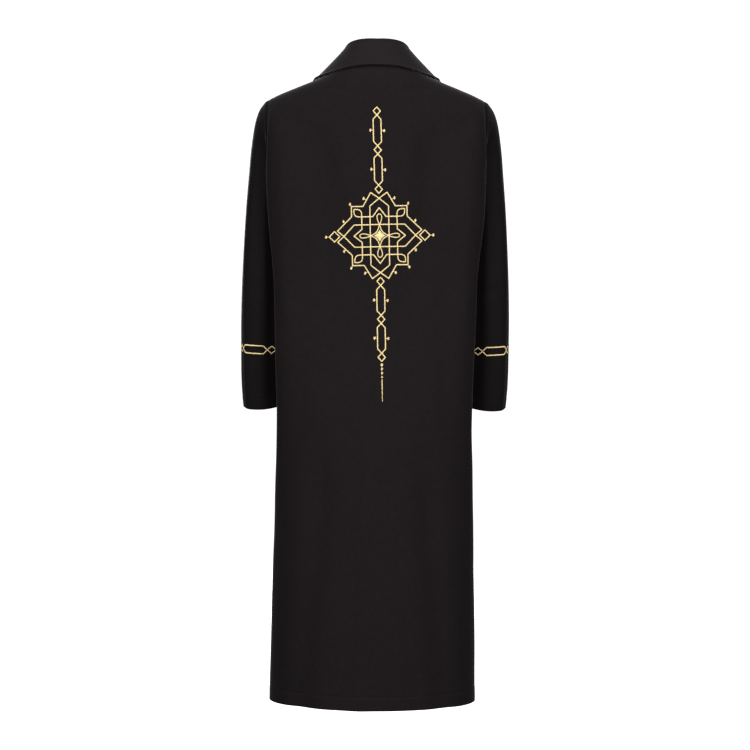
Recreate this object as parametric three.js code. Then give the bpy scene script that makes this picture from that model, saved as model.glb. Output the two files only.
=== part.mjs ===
// A long straight manteau, hollow and hanging as it is worn: a back, two lapped
// fronts, two set-in sleeves and a wide turned-down collar, each sewn piece its
// own mesh. Millimetres, +Z up. The origin is where the wearer carries the coat,
// level with the neck ends of the shoulder seams. The front faces -Y and +X is
// the wearer's left.
import * as THREE from "three";

// ---------------------------------------------------------------- sizes

const CLOTH = 1.6; // wall of the body and sleeve cloth
const COLLAR_CLOTH = 2.4; // two layers with a stiffener between them
const SEAM_GAP = 0.4; // between pieces sewn edge to edge
const HEM_Z = -1220;
const UNDERARM_Z = -230;
const SHOULDER_TIP = { x: 209, z: -58.5 };
const NECK = { halfWidth: 68, sideZ: 8, crown: 21.8, backY: 62, frontY: 78 };
const SIDE_SEAM_Y = -5;
const LAP = { reach: 25, easeFrom: 70, easeTo: 28, lift: CLOTH + 1.1 }; // right front over left front

// The armhole is an oval in side view, deeper behind than in front.
const ARMHOLE = {
  midZ: (SHOULDER_TIP.z + UNDERARM_Z) / 2,
  halfHeight: (SHOULDER_TIP.z - UNDERARM_Z) / 2,
  backY: 60,
  frontY: -52,
};

// Mesh steps
const NECK_STEPS = 5; // columns from the middle to the neck end of the shoulder seam
const SIDE_STEPS = 10; // columns from there to the armhole or the side seam
const WALL_SHARE = 3 / 10; // of those, the ones behind the arm
const YOKE_ROWS = 12; // rows from the shoulder seam to the underarm
const SKIRT_ROWS = 15; // rows from the underarm to the hem
const SLEEVE_RINGS = 20;
const ARMHOLE_FADE = 4; // rows of the sleeve table over which it leaves the armhole's shape
const COLLAR_STATIONS = 22; // from centre back to each front end

// Body sections. The back runs from its middle (backY) to a soft ridge behind the
// arm (ridgeX, ridgeY) and turns in to the side seam (sideX); the front is a
// quarter oval from the side seam to its middle (frontY).
const BODY = [
  { z: -1220, ridgeX: 198.0, ridgeY: 20, backY: 145, sideX: 199, frontY: 138 },
  { z: -1110, ridgeX: 196.5, ridgeY: 24, backY: 140, sideX: 198, frontY: 134 },
  { z: -965, ridgeX: 193.5, ridgeY: 30, backY: 134, sideX: 195, frontY: 130 },
  { z: -850, ridgeX: 190.5, ridgeY: 38, backY: 130, sideX: 190, frontY: 128 },
  { z: -760, ridgeX: 188.5, ridgeY: 46, backY: 127, sideX: 180, frontY: 126 },
  { z: -680, ridgeX: 187.0, ridgeY: 54, backY: 124, sideX: 166, frontY: 125 },
  { z: -600, ridgeX: 187.0, ridgeY: 59, backY: 120, sideX: 160, frontY: 124 },
  { z: -500, ridgeX: 187.5, ridgeY: 60, backY: 112, sideX: 160, frontY: 122 },
  { z: -418, ridgeX: 188.5, ridgeY: 60, backY: 108, sideX: 160, frontY: 122 },
  { z: -372, ridgeX: 191.5, ridgeY: 60, backY: 109, sideX: 160, frontY: 124 },
  { z: -327, ridgeX: 196.5, ridgeY: 60, backY: 112, sideX: 160, frontY: 127 },
  { z: -281, ridgeX: 201.0, ridgeY: 60, backY: 115, sideX: 160, frontY: 128 },
  { z: -230, ridgeX: 204.5, ridgeY: 60, backY: 118, sideX: 163, frontY: 126 },
  { z: -189, ridgeX: 206.0, ridgeY: 60, backY: 118, sideX: 180, frontY: 122 },
  { z: -144, ridgeX: 207.8, ridgeY: 60, backY: 116, sideX: 201, frontY: 117 },
  { z: -97, ridgeX: 208.5, ridgeY: 60, backY: 113, sideX: 217, frontY: 113 },
  { z: -58.5, ridgeX: 209.0, ridgeY: 60, backY: 112, sideX: 232.7, frontY: 112 },
];

// The shoulder seam, from the neck to the sleeve.
const SHOULDER = [
  { x: 68, z: 8 },
  { x: 90, z: -6 },
  { x: 122, z: -21.5 },
  { x: 151, z: -33 },
  { x: 190, z: -49 },
  { x: 209, z: -58.5 },
];

// How far below the shoulder line the cloth has come down to its full depth, at the
// middle of each face; at the shoulder tip it is the armhole's own half height.
const ROUNDING = { back: 130, front: 235 };

// Long soft folds, troughs (depth < 0) and ridges, from their top (x, z) to their
// foot. A pair has a twin on the other side of the body. A fold that ends above the
// hem fades out there.
const FOLDS = [
  // skirt troughs, blade hollows, ease beside the arms, and a ridge low in the middle
  { face: "back", pair: true, x: 84, z: -640, footX: 138, footZ: -1250, width: 24, depth: -6.5 },
  { face: "back", pair: true, x: 104, z: -60, footX: 92, footZ: -440, width: 30, depth: -6 },
  { face: "back", pair: true, x: 168, z: -100, footX: 160, footZ: -640, width: 22, depth: 3.5 },
  { face: "back", pair: false, x: 2, z: -560, footX: 26, footZ: -1240, width: 20, depth: 3.5 },
  // inner troughs, an outer trough on each side, and the hollows beside the chest
  { face: "front", pair: true, x: 62, z: -330, footX: 84, footZ: -1260, width: 24, depth: -6 },
  { face: "front", pair: false, x: 108, z: -420, footX: 152, footZ: -1250, width: 20, depth: -5 },
  { face: "front", pair: false, x: -112, z: -520, footX: -138, footZ: -1240, width: 22, depth: -5.5 },
  { face: "front", pair: true, x: 118, z: -60, footX: 102, footZ: -330, width: 24, depth: -4.5 },
];

// Left sleeve rings: its outer line, its inner line beside the body, its middle
// depth, its half depth and how far the ring's back dips as the forearm comes forward.
const SLEEVE = [
  { ring: 0, outX: 209, outZ: -58.5, inX: 163, inZ: -230, midY: 0, half: 60, dip: 0 },
  { ring: 1, outX: 221, outZ: -67, inX: 167.5, inZ: -236, midY: -4, half: 57, dip: 0 },
  { ring: 2, outX: 231, outZ: -82, inX: 170, inZ: -243, midY: -7, half: 55, dip: 0 },
  { ring: 3, outX: 238, outZ: -106, inX: 171.5, inZ: -251, midY: -9, half: 54, dip: 0 },
  { ring: 4, outX: 242.5, outZ: -142, inX: 172, inZ: -261, midY: -10, half: 54, dip: 0 },
  { ring: 5, outX: 247, outZ: -192, inX: 171.5, inZ: -274, midY: -11, half: 54.5, dip: 0 },
  { ring: 6, outX: 251.5, outZ: -252, inX: 171, inZ: -298, midY: -12, half: 54.5, dip: 0 },
  { ring: 7, outX: 255.5, outZ: -317, inX: 170.5, inZ: -336, midY: -13, half: 54, dip: 0 },
  { ring: 8, outX: 258.5, outZ: -382, inX: 170.5, inZ: -390, midY: -15, half: 53, dip: 1 },
  { ring: 9, outX: 260.5, outZ: -446, inX: 171, inZ: -449, midY: -19, half: 51.5, dip: 3 },
  { ring: 10, outX: 261.5, outZ: -507, inX: 171.5, inZ: -508, midY: -24, half: 50, dip: 4.5 },
  { ring: 11, outX: 261.5, outZ: -562, inX: 172, inZ: -562, midY: -30, half: 49, dip: 5.5 },
  { ring: 12, outX: 260.5, outZ: -610, inX: 172.5, inZ: -610, midY: -36, half: 48, dip: 6 },
  { ring: 13, outX: 257.5, outZ: -654, inX: 173, inZ: -654, midY: -41, half: 47, dip: 6 },
];

// Lengthwise folds of the sleeve, by the turn round the ring (0 is the outside of
// the arm, 90 degrees its back) and the rings they run between.
const SLEEVE_FOLDS = [
  { turn: 58, footTurn: 74, ring: 1.5, footRing: 9, width: 13, depth: -3 },
  { turn: -52, footTurn: -80, ring: 1.5, footRing: 8.5, width: 14, depth: -3.2 },
  { turn: 38, footTurn: 30, ring: 8, footRing: 14.5, width: 12, depth: -2 },
];

// Collar stations round the neck, from centre back (turn 0) to centre front (turn
// 180): the stand's height, and where the outer edge lies and how far it stands off.
const COLLAR = [
  { turn: 0, stand: 37, edgeX: 0, edgeZ: -2, off: 4.5 },
  { turn: 20, stand: 37.5, edgeX: 30, edgeZ: -3, off: 4.5 },
  { turn: 38, stand: 38, edgeX: 58, edgeZ: -7, off: 4.5 },
  { turn: 55, stand: 38.5, edgeX: 81, edgeZ: -13, off: 4.5 },
  { turn: 72, stand: 37, edgeX: 101, edgeZ: -17, off: 4.5 },
  { turn: 90, stand: 34, edgeX: 117, edgeZ: -19.5, off: 4.5 },
  { turn: 108, stand: 28, edgeX: 122, edgeZ: -37, off: 4.5 },
  { turn: 126, stand: 21, edgeX: 120, edgeZ: -66, off: 4.5 },
  { turn: 144, stand: 14, edgeX: 112, edgeZ: -98, off: 4.5 },
  { turn: 162, stand: 10, edgeX: 94, edgeZ: -126, off: 4.5 },
  { turn: 180, stand: 8, edgeX: 72, edgeZ: -146, off: 4.5 },
];
const COLLAR_ROLL = 4.2; // radius of the fold at the top of the collar
const COLLAR_LEAN = 0.28; // inward lean of the stand, per height
const COLLAR_FOOT = { inset: 3.6, lift: 1.2 }; // of its middle, from the edge of the neckline
const COLLAR_END = 177; // the turn at which each half stops, short of centre front
const COLLAR_FALL_STEPS = 6;
const BED_PARTS = 4; // the body's mesh steps are split so often to lay the collar on them
const BED_FLOOR = -190; // the collar reaches no lower than this
const FALL_CLEARANCE = 3.8; // from the body's cloth to the middle of the collar's

// ---------------------------------------------------------------- curves

const RIGHT_ANGLE = Math.PI / 2;
const clamp01 = (t) => Math.min(1, Math.max(0, t));
const mix = (a, b, t) => a + (b - a) * t;
const smooth = (t) => t * t * (3 - 2 * t);

// A smooth curve, without overshoot, through one column of a table by its key column.
function column(rows, key, name) {
  const sorted = [...rows].sort((a, b) => a[key] - b[key]);
  const xs = sorted.map((row) => row[key]);
  const ys = sorted.map((row) => row[name]);
  const steps = xs.slice(1).map((x, i) => (ys[i + 1] - ys[i]) / (x - xs[i]));
  const slopes = xs.map((_, i) => {
    const before = steps[i - 1] ?? steps[0];
    const after = steps[i] ?? steps[steps.length - 1];
    return before * after <= 0 ? 0 : (2 * before * after) / (before + after);
  });
  return (x) => {
    const at = Math.min(xs[xs.length - 1], Math.max(xs[0], x));
    let i = 0;
    while (i < xs.length - 2 && at > xs[i + 1]) i += 1;
    const width = xs[i + 1] - xs[i];
    const t = (at - xs[i]) / width;
    const bend = t * (1 - t) * width;
    return (
      mix(ys[i], ys[i + 1], smooth(t)) +
      bend * ((1 - t) * slopes[i] - t * slopes[i + 1])
    );
  };
}

const body = Object.fromEntries(
  ["ridgeX", "ridgeY", "backY", "sideX", "frontY"].map((name) => [name, column(BODY, "z", name)]),
);
const shoulderZ = column(SHOULDER, "x", "z");

// Height of the shoulder line, run on smoothly across the neck opening.
function crestZ(x) {
  const across = Math.abs(x) / NECK.halfWidth;
  return across >= 1 ? shoulderZ(Math.abs(x)) : NECK.sideZ + NECK.crown * (1 - across ** 2);
}

// How the cloth rounds over the shoulder at an x: the height it takes, and how
// squarely it turns (2 is an oval, 1 slopes away at once).
function shoulderRound(x, front) {
  const across = clamp01(Math.abs(x) / SHOULDER_TIP.x);
  const beyondNeck = clamp01((Math.abs(x) - NECK.halfWidth) / (SHOULDER_TIP.x - NECK.halfWidth));
  return front
    ? { height: mix(ROUNDING.front, ARMHOLE.halfHeight, across ** 1.7), square: 1 + smooth(beyondNeck) }
    : { height: mix(ROUNDING.back, ARMHOLE.halfHeight, across), square: 2.5 - 0.5 * smooth(across) };
}

// Share of its full depth the cloth has reached at a height.
function roundedShare(x, z, front) {
  const { height, square } = shoulderRound(x, front);
  const left = 1 - clamp01((crestZ(x) - z) / height);
  return (1 - left * left) ** (1 / square);
}

// Height of the neckline at an x: where its round plan cuts the sloping cloth.
function necklineZ(x, front) {
  const { height, square } = shoulderRound(x, front);
  const across = Math.min(1, Math.abs(x) / NECK.halfWidth);
  const full = front ? body.frontY(SHOULDER_TIP.z) : body.backY(SHOULDER_TIP.z);
  const share = ((front ? NECK.frontY : NECK.backY) * Math.sqrt(1 - across * across)) / full;
  return crestZ(x) - height * (1 - Math.sqrt(1 - share ** square));
}

// Depth added by the long folds of one face.
function foldDepth(face, x, z) {
  let depth = 0;
  for (const fold of FOLDS) {
    if (fold.face !== face) continue;
    const along = (z - fold.z) / (fold.footZ - fold.z);
    if (along <= 0 || along >= 1) continue;
    const fall = fold.footZ > HEM_Z ? smooth(clamp01((1 - along) / 0.4)) : 1;
    const rise = smooth(clamp01(along / 0.35)) * fall;
    const middle = mix(fold.x, fold.footX, along);
    const sides = fold.pair ? [Math.abs(x) - middle] : [x - middle];
    for (const away of sides) {
      depth += fold.depth * rise * Math.exp(-((away / fold.width) ** 2));
    }
  }
  return depth;
}

// The back's outer face at angle phi round its oval (0 is centre back, 90 degrees
// the ridge behind the arm).
function backPoint(phi, z, side) {
  const x = body.ridgeX(z) * Math.sin(phi);
  const full = mix(body.ridgeY(z), body.backY(z), Math.cos(phi)) + foldDepth("back", side * x, z);
  return new THREE.Vector3(side * x, full * roundedShare(SHOULDER_TIP.x * Math.sin(phi), z, false), z);
}

// The part of the back that turns in behind the arm, from the ridge (0) to the side seam (1).
function wallPoint(share, z, side) {
  const x = mix(body.ridgeX(z), body.sideX(z), smooth(share ** 0.7));
  return new THREE.Vector3(side * x, mix(body.ridgeY(z), SIDE_SEAM_Y, share), z);
}

// The front's outer face at angle phi round its oval (0 is centre front, 90
// degrees the side seam).
function frontPoint(phi, z, side) {
  const x = body.sideX(z) * Math.sin(phi);
  const full = mix(SIDE_SEAM_Y, -body.frontY(z), Math.cos(phi)) - foldDepth("front", side * x, z);
  const topX = body.sideX(SHOULDER_TIP.z) * Math.sin(phi);
  return new THREE.Vector3(side * x, full * roundedShare(topX, z, true), z);
}

// How far down the armhole's lower half a height is, as the half width of its oval.
function lowerOval(z) {
  const up = clamp01((ARMHOLE.midZ - z) / ARMHOLE.halfHeight);
  return Math.sqrt(1 - up * up);
}

// Where the back's wall ends at a height: at the armhole, or at the side seam below it.
function wallEnd(z) {
  if (z >= ARMHOLE.midZ) return 0;
  const edgeY = mix(SIDE_SEAM_Y, ARMHOLE.backY, lowerOval(z));
  return z <= UNDERARM_Z ? 1 : (ARMHOLE.backY - edgeY) / (ARMHOLE.backY - SIDE_SEAM_Y);
}

// The front's last angle at a height: at the armhole, or at the side seam below it.
function frontEnd(z) {
  if (z <= UNDERARM_Z) return RIGHT_ANGLE;
  const depth = -ARMHOLE.frontY + SIDE_SEAM_Y;
  const reach = (z >= ARMHOLE.midZ ? 1 : lowerOval(z)) * depth;
  return Math.acos(reach / (body.frontY(Math.min(z, SHOULDER_TIP.z)) + SIDE_SEAM_Y));
}

// ---------------------------------------------------------------- meshes

// A closed wall between an outer and an inner grid of points. A tube joins its
// last column to its first.
function wallBetween(outer, inner, tube = false) {
  const rows = outer.length;
  const columns = outer[0].length;
  const points = [...outer.flat(), ...inner.flat()];
  const index = [];
  const at = (layer, row, col) => layer * rows * columns + row * columns + (col % columns);
  const quad = (a, b, c, d, turned = false) =>
    turned ? index.push(a, b, d, b, c, d) : index.push(a, b, c, a, c, d);
  const lastColumn = tube ? columns : columns - 1;
  for (let row = 0; row < rows - 1; row += 1) {
    for (let col = 0; col < lastColumn; col += 1) {
      const half = col >= lastColumn / 2; // the two halves are split as mirror images
      quad(at(0, row, col), at(0, row + 1, col), at(0, row + 1, col + 1), at(0, row, col + 1), half);
      quad(at(1, row, col), at(1, row, col + 1), at(1, row + 1, col + 1), at(1, row + 1, col), half);
    }
  }
  for (let col = 0; col < lastColumn; col += 1) {
    quad(at(0, 0, col), at(0, 0, col + 1), at(1, 0, col + 1), at(1, 0, col));
    quad(at(0, rows - 1, col), at(1, rows - 1, col), at(1, rows - 1, col + 1), at(0, rows - 1, col + 1));
  }
  for (let row = 0; row < rows - 1 && !tube; row += 1) {
    quad(at(0, row, 0), at(1, row, 0), at(1, row + 1, 0), at(0, row + 1, 0));
    const end = columns - 1;
    quad(at(0, row, end), at(0, row + 1, end), at(1, row + 1, end), at(1, row, end));
  }
  const geometry = new THREE.BufferGeometry();
  const positions = points.flatMap((p) => [p.x, p.y, p.z]);
  geometry.setAttribute("position", new THREE.Float32BufferAttribute(positions, 3));
  geometry.setIndex(index);
  return geometry;
}

// Unit normals of a grid whose columns run across and whose rows run down the
// outer face, so that they point out of the garment.
function gridNormals(grid) {
  return grid.map((row, r) =>
    row.map((_, c) => {
      const across = row[Math.min(c + 1, row.length - 1)].clone().sub(row[Math.max(c - 1, 0)]);
      const down = grid[Math.min(r + 1, grid.length - 1)][c].clone().sub(grid[Math.max(r - 1, 0)][c]);
      return down.cross(across).normalize();
    }),
  );
}

// The same grid moved along its normals. On the seams that lie in a plane across Y
// the move stays in that plane, so that the two pieces sewn there keep their gap.
function offsetGrid(grid, distance, onSeam = () => false) {
  const normals = gridNormals(grid);
  return grid.map((row, r) =>
    row.map((point, c) => {
      const normal = normals[r][c];
      if (onSeam(r, c)) normal.setY(0).normalize();
      return point.clone().addScaledVector(normal, distance);
    }),
  );
}

// Heights of one column: close together over the shoulder, and for the outermost
// columns also at the underarm, then wider apart down to the hem.
function columnHeights(topZ, outward) {
  const yoke = Array.from({ length: YOKE_ROWS }, (_, i) => {
    const inner = (i / YOKE_ROWS) ** 1.45;
    const outer = (1 - Math.cos((Math.PI * i) / YOKE_ROWS)) / 2;
    return mix(topZ, UNDERARM_Z, mix(inner, outer, outward ** 2));
  });
  const skirt = Array.from({ length: SKIRT_ROWS + 1 }, (_, i) =>
    mix(UNDERARM_Z, HEM_Z, (i / SKIRT_ROWS) ** 1.2),
  );
  return [...yoke, ...skirt];
}

// The angles, at the top edge, of the columns from the middle to the shoulder tip.
function topAngles(fullX, endAngle) {
  const neckAngles = Array.from({ length: NECK_STEPS + 1 }, (_, i) =>
    Math.asin((NECK.halfWidth * Math.sin((RIGHT_ANGLE * i) / NECK_STEPS)) / fullX),
  );
  const neckEnd = neckAngles[NECK_STEPS];
  const sideAngles = Array.from({ length: SIDE_STEPS }, (_, i) =>
    mix(neckEnd, endAngle, (i + 1) / SIDE_STEPS),
  );
  return [...neckAngles, ...sideAngles];
}

const materials = {
  cloth: new THREE.MeshStandardMaterial({ color: 0x262223, roughness: 0.88, metalness: 0 }),
  sleeveCloth: new THREE.MeshStandardMaterial({ color: 0x231f20, roughness: 0.88, metalness: 0 }),
  collarCloth: new THREE.MeshStandardMaterial({ color: 0x2b2728, roughness: 0.84, metalness: 0 }),
};

function pieceMesh(name, geometry, material) {
  const mesh = new THREE.Mesh(geometry, material);
  mesh.name = name;
  return mesh;
}

// ---------------------------------------------------------------- pieces

// One column of the back: it starts on the neckline or the shoulder seam and its
// last ones slide off the ridge behind the arm.
function backColumn(topAngle, share, side) {
  const neckEnd = Math.asin(NECK.halfWidth / SHOULDER_TIP.x);
  const topZ = necklineZ(SHOULDER_TIP.x * Math.sin(topAngle), false);
  return columnHeights(topZ, Math.max(0, share)).map((z) => {
    if (share < 0) return backPoint(topAngle, z, side);
    const split = 1 - WALL_SHARE * wallEnd(z) ** 0.7;
    return share <= split
      ? backPoint(mix(neckEnd, RIGHT_ANGLE, share / split), z, side)
      : wallPoint(((share - split) / (1 - split)) * wallEnd(z), z, side);
  });
}

function backGrid() {
  const angles = topAngles(SHOULDER_TIP.x, RIGHT_ANGLE);
  const half = (side) =>
    angles.map((angle, i) => backColumn(angle, i > NECK_STEPS ? (i - NECK_STEPS) / SIDE_STEPS : -1, side));
  const columns = [...half(1).reverse(), ...half(-1).slice(1)];
  const grid = columns[0].map((_, r) => columns.map((points) => points[r]));
  const last = columns.length - 1;
  const onSeam = (r, c) =>
    (r === 0 && Math.abs(c - last / 2) >= NECK_STEPS) || ((c === 0 || c === last) && r >= YOKE_ROWS);
  grid.forEach((row, r) =>
    row.forEach((point, c) => {
      if (onSeam(r, c)) point.y += SEAM_GAP / 2;
    }),
  );
  return { grid, onSeam };
}

// side 1 is the wearer's left front, which lies under; side -1 the right, on top.
function frontGrid(side) {
  const fullX = body.sideX(SHOULDER_TIP.z);
  const angles = topAngles(fullX, frontEnd(SHOULDER_TIP.z));
  const columns = angles.map((angle, i) => {
    const share = i > NECK_STEPS ? (i - NECK_STEPS) / SIDE_STEPS : -1;
    return columnHeights(necklineZ(fullX * Math.sin(angle), true), Math.max(0, share)).map((z) =>
      frontPoint(share < 0 ? angle : mix(angles[NECK_STEPS], frontEnd(z), share), z, side),
    );
  });
  const lap = [LAP.reach, LAP.reach / 2].map((reach) =>
    columnHeights(necklineZ(reach, true), 0).map((z) =>
      frontPoint(-Math.asin(reach / body.sideX(z)), z, side),
    ),
  );
  const across = [...lap, ...columns];
  if (side < 0) across.reverse(); // the columns run from -X to +X
  const grid = across[0].map((_, r) => across.map((points) => points[r]));
  const last = across.length - 1;
  const fromLap = (c) => (side < 0 ? last - c : c);
  const onSeam = (r, c) =>
    (r === 0 && fromLap(c) >= lap.length + NECK_STEPS) || (fromLap(c) === last && r >= YOKE_ROWS);
  if (side < 0) {
    const normals = gridNormals(grid);
    grid.forEach((row, r) =>
      row.forEach((point, c) => {
        const near = clamp01((LAP.easeFrom + point.x) / (LAP.easeFrom - LAP.easeTo));
        point.addScaledVector(normals[r][c], LAP.lift * smooth(near));
      }),
    );
  }
  grid.forEach((row, r) =>
    row.forEach((point, c) => {
      if (onSeam(r, c)) point.y -= SEAM_GAP / 2;
    }),
  );
  return { grid, onSeam };
}

function bodyPanel({ grid, onSeam }) {
  return wallBetween(grid, offsetGrid(grid, -CLOTH, onSeam));
}

// A point of the left armhole, turn 0 at the shoulder tip and 180 degrees at the
// underarm, through the back.
function armholePoint(turn) {
  const z = ARMHOLE.midZ + ARMHOLE.halfHeight * Math.cos(turn);
  if (Math.sin(turn) < 0) return frontPoint(frontEnd(z), z, 1);
  return z >= ARMHOLE.midZ ? backPoint(RIGHT_ANGLE, z, 1) : wallPoint(wallEnd(z), z, 1);
}

// How deep the folds of the sleeve are at a ring and a turn.
function sleeveFoldDepth(ring, turn) {
  const degrees = (((turn * 180) / Math.PI + 180) % 360) - 180;
  let depth = 0;
  for (const fold of SLEEVE_FOLDS) {
    const along = clamp01((ring - fold.ring) / (fold.footRing - fold.ring));
    const away = (degrees - mix(fold.turn, fold.footTurn, along)) / fold.width;
    depth += fold.depth * Math.sin(Math.PI * along) ** 0.8 * Math.exp(-away * away);
  }
  return depth;
}

// A point of the left sleeve: the ring's own oval, drawn to the armhole's shape near it.
function sleevePoint(ring, turn) {
  const oval = (row) =>
    new THREE.Vector3(
      mix(row.inX, row.outX, (1 + Math.cos(turn)) / 2),
      row.midY + row.half * Math.sin(turn),
      mix(row.inZ, row.outZ, (1 + Math.cos(turn)) / 2) - row.dip * Math.sin(turn),
    );
  const pull = armholePoint(turn).sub(oval(SLEEVE[0]));
  return oval(sleeveRow(ring)).addScaledVector(pull, smooth(clamp01(1 - ring / ARMHOLE_FADE)));
}
const sleeveColumns = Object.fromEntries(
  Object.keys(SLEEVE[0]).map((name) => [name, column(SLEEVE, "ring", name)]),
);
const sleeveRow = (ring) =>
  Object.fromEntries(Object.entries(sleeveColumns).map(([name, curve]) => [name, curve(ring)]));

function makeSleeve() {
  const around = 2 * YOKE_ROWS;
  const lastRing = SLEEVE.length - 1;
  const outer = [];
  const inner = [];
  for (let i = 0; i <= SLEEVE_RINGS; i += 1) {
    const ring = lastRing * (i / SLEEVE_RINGS) ** 1.05;
    const points = Array.from({ length: around }, (_, k) => sleevePoint(ring, (2 * Math.PI * k) / around));
    if (i === 0) points.forEach((point) => (point.x += SEAM_GAP));
    const middle = points.reduce((sum, p) => sum.add(p), new THREE.Vector3()).divideScalar(around);
    points.forEach((point, k) => {
      const outward = point.clone().sub(middle).normalize();
      point.addScaledVector(outward, sleeveFoldDepth(ring, (2 * Math.PI * k) / around));
    });
    outer.push(points);
    inner.push(points.map((point) => {
      const inward = middle.clone().sub(point);
      if (i === 0) inward.setX(0);
      return point.clone().addScaledVector(inward.normalize(), CLOTH);
    }));
  }
  return wallBetween(outer, inner, true);
}

// The same piece for the other side of the body.
function mirrored(geometry) {
  const copy = geometry.clone().scale(-1, 1, 1);
  const index = Array.from(copy.index.array);
  for (let i = 0; i < index.length; i += 3) [index[i], index[i + 1]] = [index[i + 1], index[i]];
  copy.setIndex(index);
  return copy;
}

// The foot of the collar's left half at a turn from centre back (0) to centre
// front (180 degrees), a little inside the neckline.
function collarFoot(turn) {
  const front = turn > RIGHT_ANGLE;
  const x = NECK.halfWidth * Math.sin(turn);
  const z = necklineZ(x, front);
  const { y } = bodyAt(x, z, front);
  const inward = new THREE.Vector3(Math.sin(turn), Math.cos(turn), 0);
  return new THREE.Vector3(x, y, z + COLLAR_FOOT.lift).addScaledVector(inward, -COLLAR_FOOT.inset);
}

// The point of the left half's outer face at an x and a height.
function bodyAt(x, z, front) {
  return front
    ? frontPoint(Math.asin(clamp01(x / body.sideX(z))), z, 1)
    : backPoint(Math.asin(clamp01(x / body.ridgeX(z))), z, 1);
}

// Lifts a point off the cloth it lies on until it has the clearance it needs. The
// bed is a list of that cloth's points with their normals.
function liftOff(bed, point, clearance) {
  for (let pass = 0; pass < 3; pass += 1) {
    let nearest = bed[0];
    for (const spot of bed) {
      if (spot.point.distanceToSquared(point) < nearest.point.distanceToSquared(point)) nearest = spot;
    }
    const height = point.clone().sub(nearest.point).dot(nearest.normal);
    if (height < clearance) point.addScaledVector(nearest.normal, clearance - height);
  }
  return point;
}

const collarColumns = Object.fromEntries(
  Object.keys(COLLAR[0]).map((name) => [name, column(COLLAR, "turn", name)]),
);

// One section of the left half of the collar, from the foot of its stand over the
// roll to its edge.
function collarSection(turn, bed) {
  const degrees = (turn * 180) / Math.PI;
  const foot = collarFoot(turn);
  const stand = collarColumns.stand(degrees);
  const outward = new THREE.Vector3(Math.sin(turn), Math.cos(turn), 0);
  const middle = foot.clone().addScaledVector(outward, COLLAR_ROLL - COLLAR_LEAN * stand);
  middle.setZ(foot.z + stand - COLLAR_ROLL);
  const edgeX = collarColumns.edgeX(degrees);
  const edgeZ = collarColumns.edgeZ(degrees);
  const front = turn > RIGHT_ANGLE;
  const edge = bodyAt(edgeX, edgeZ, front).addScaledVector(outward, collarColumns.off(degrees));
  const start = middle.clone().addScaledVector(outward, -COLLAR_ROLL);
  const section = [0, 1, 2].map((i) => foot.clone().lerp(start, i / 3));
  for (let i = 0; i <= 4; i += 1) {
    const around = (Math.PI * i) / 4;
    const point = middle.clone().addScaledVector(outward, -COLLAR_ROLL * Math.cos(around));
    section.push(point.setZ(point.z + COLLAR_ROLL * Math.sin(around)));
  }
  const end = section[section.length - 1];
  for (let i = 1; i <= COLLAR_FALL_STEPS; i += 1) {
    const point = end.clone().lerp(edge, i / COLLAR_FALL_STEPS);
    const under = bodyAt(point.x, point.z, front);
    if (Math.abs(under.y) > Math.abs(point.y)) point.setY(under.y);
    section.push(liftOff(bed, point, FALL_CLEARANCE));
  }
  return section;
}

// Points and normals spread finely over the upper part of the body, and the same
// mirrored, for the collar to lie on.
function collarBed(panels) {
  const spots = [];
  for (const { grid } of panels) {
    const normals = gridNormals(grid);
    for (let r = 0; r < YOKE_ROWS; r += 1 / BED_PARTS) {
      for (let c = 0; c < grid[0].length - 1; c += 1 / BED_PARTS) {
        const between = (rows) => {
          const [r0, c0] = [Math.floor(r), Math.floor(c)];
          const upper = rows[r0][c0].clone().lerp(rows[r0][c0 + 1], c - c0);
          return upper.lerp(rows[r0 + 1][c0].clone().lerp(rows[r0 + 1][c0 + 1], c - c0), r - r0);
        };
        const [point, normal] = [between(grid), between(normals).normalize()];
        const twin = [point, normal].map((v) => v.clone().setX(-v.x));
        spots.push({ point, normal }, { point: twin[0], normal: twin[1] });
      }
    }
  }
  for (let x = NECK.halfWidth; x < SHOULDER_TIP.x; x += 3) {
    const [here, next] = [x, x + 1].map((at) => new THREE.Vector3(at, 0, shoulderZ(at)));
    const along = next.sub(here);
    spots.push({ point: here, normal: new THREE.Vector3(-along.z, 0, along.x).normalize() });
  }
  return spots.filter(({ point }) => point.x > -5 && point.z > BED_FLOOR);
}

function makeCollar(panels) {
  const bed = collarBed(panels);
  const turns = Array.from(
    { length: COLLAR_STATIONS + 1 },
    (_, i) => (COLLAR_END / 180) * Math.PI * (i / COLLAR_STATIONS),
  );
  const left = turns.map((turn) => collarSection(turn, bed)).reverse();
  const right = left.slice(0, -1).reverse().map((section) => section.map((p) => p.clone().setX(-p.x)));
  const stations = [...left, ...right];
  const grid = stations[0].map((_, r) => stations.map((section) => section[r]));
  return wallBetween(offsetGrid(grid, COLLAR_CLOTH / 2), offsetGrid(grid, -COLLAR_CLOTH / 2));
}

// ---------------------------------------------------------------- garment

const back = backGrid();
const frontLeft = frontGrid(1);
const frontRight = frontGrid(-1);
const sleeve = makeSleeve();

const manteau = new THREE.Group();
manteau.add(
  pieceMesh("back", bodyPanel(back), materials.cloth),
  pieceMesh("front_left", bodyPanel(frontLeft), materials.cloth),
  pieceMesh("front_right", bodyPanel(frontRight), materials.cloth),
  pieceMesh("sleeve_left", sleeve, materials.sleeveCloth),
  pieceMesh("sleeve_right", mirrored(sleeve), materials.sleeveCloth),
  pieceMesh("collar", makeCollar([back, frontLeft, frontRight]), materials.collarCloth),
);

export default manteau;
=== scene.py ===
"""A long straight manteau, hollow and hanging as worn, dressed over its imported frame.

The garment's own sizes are in millimetres, as a cutter gives them, and its meshes are made
in metres. +Z is up, the front faces -Y and +X is the wearer's left.
"""

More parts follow.
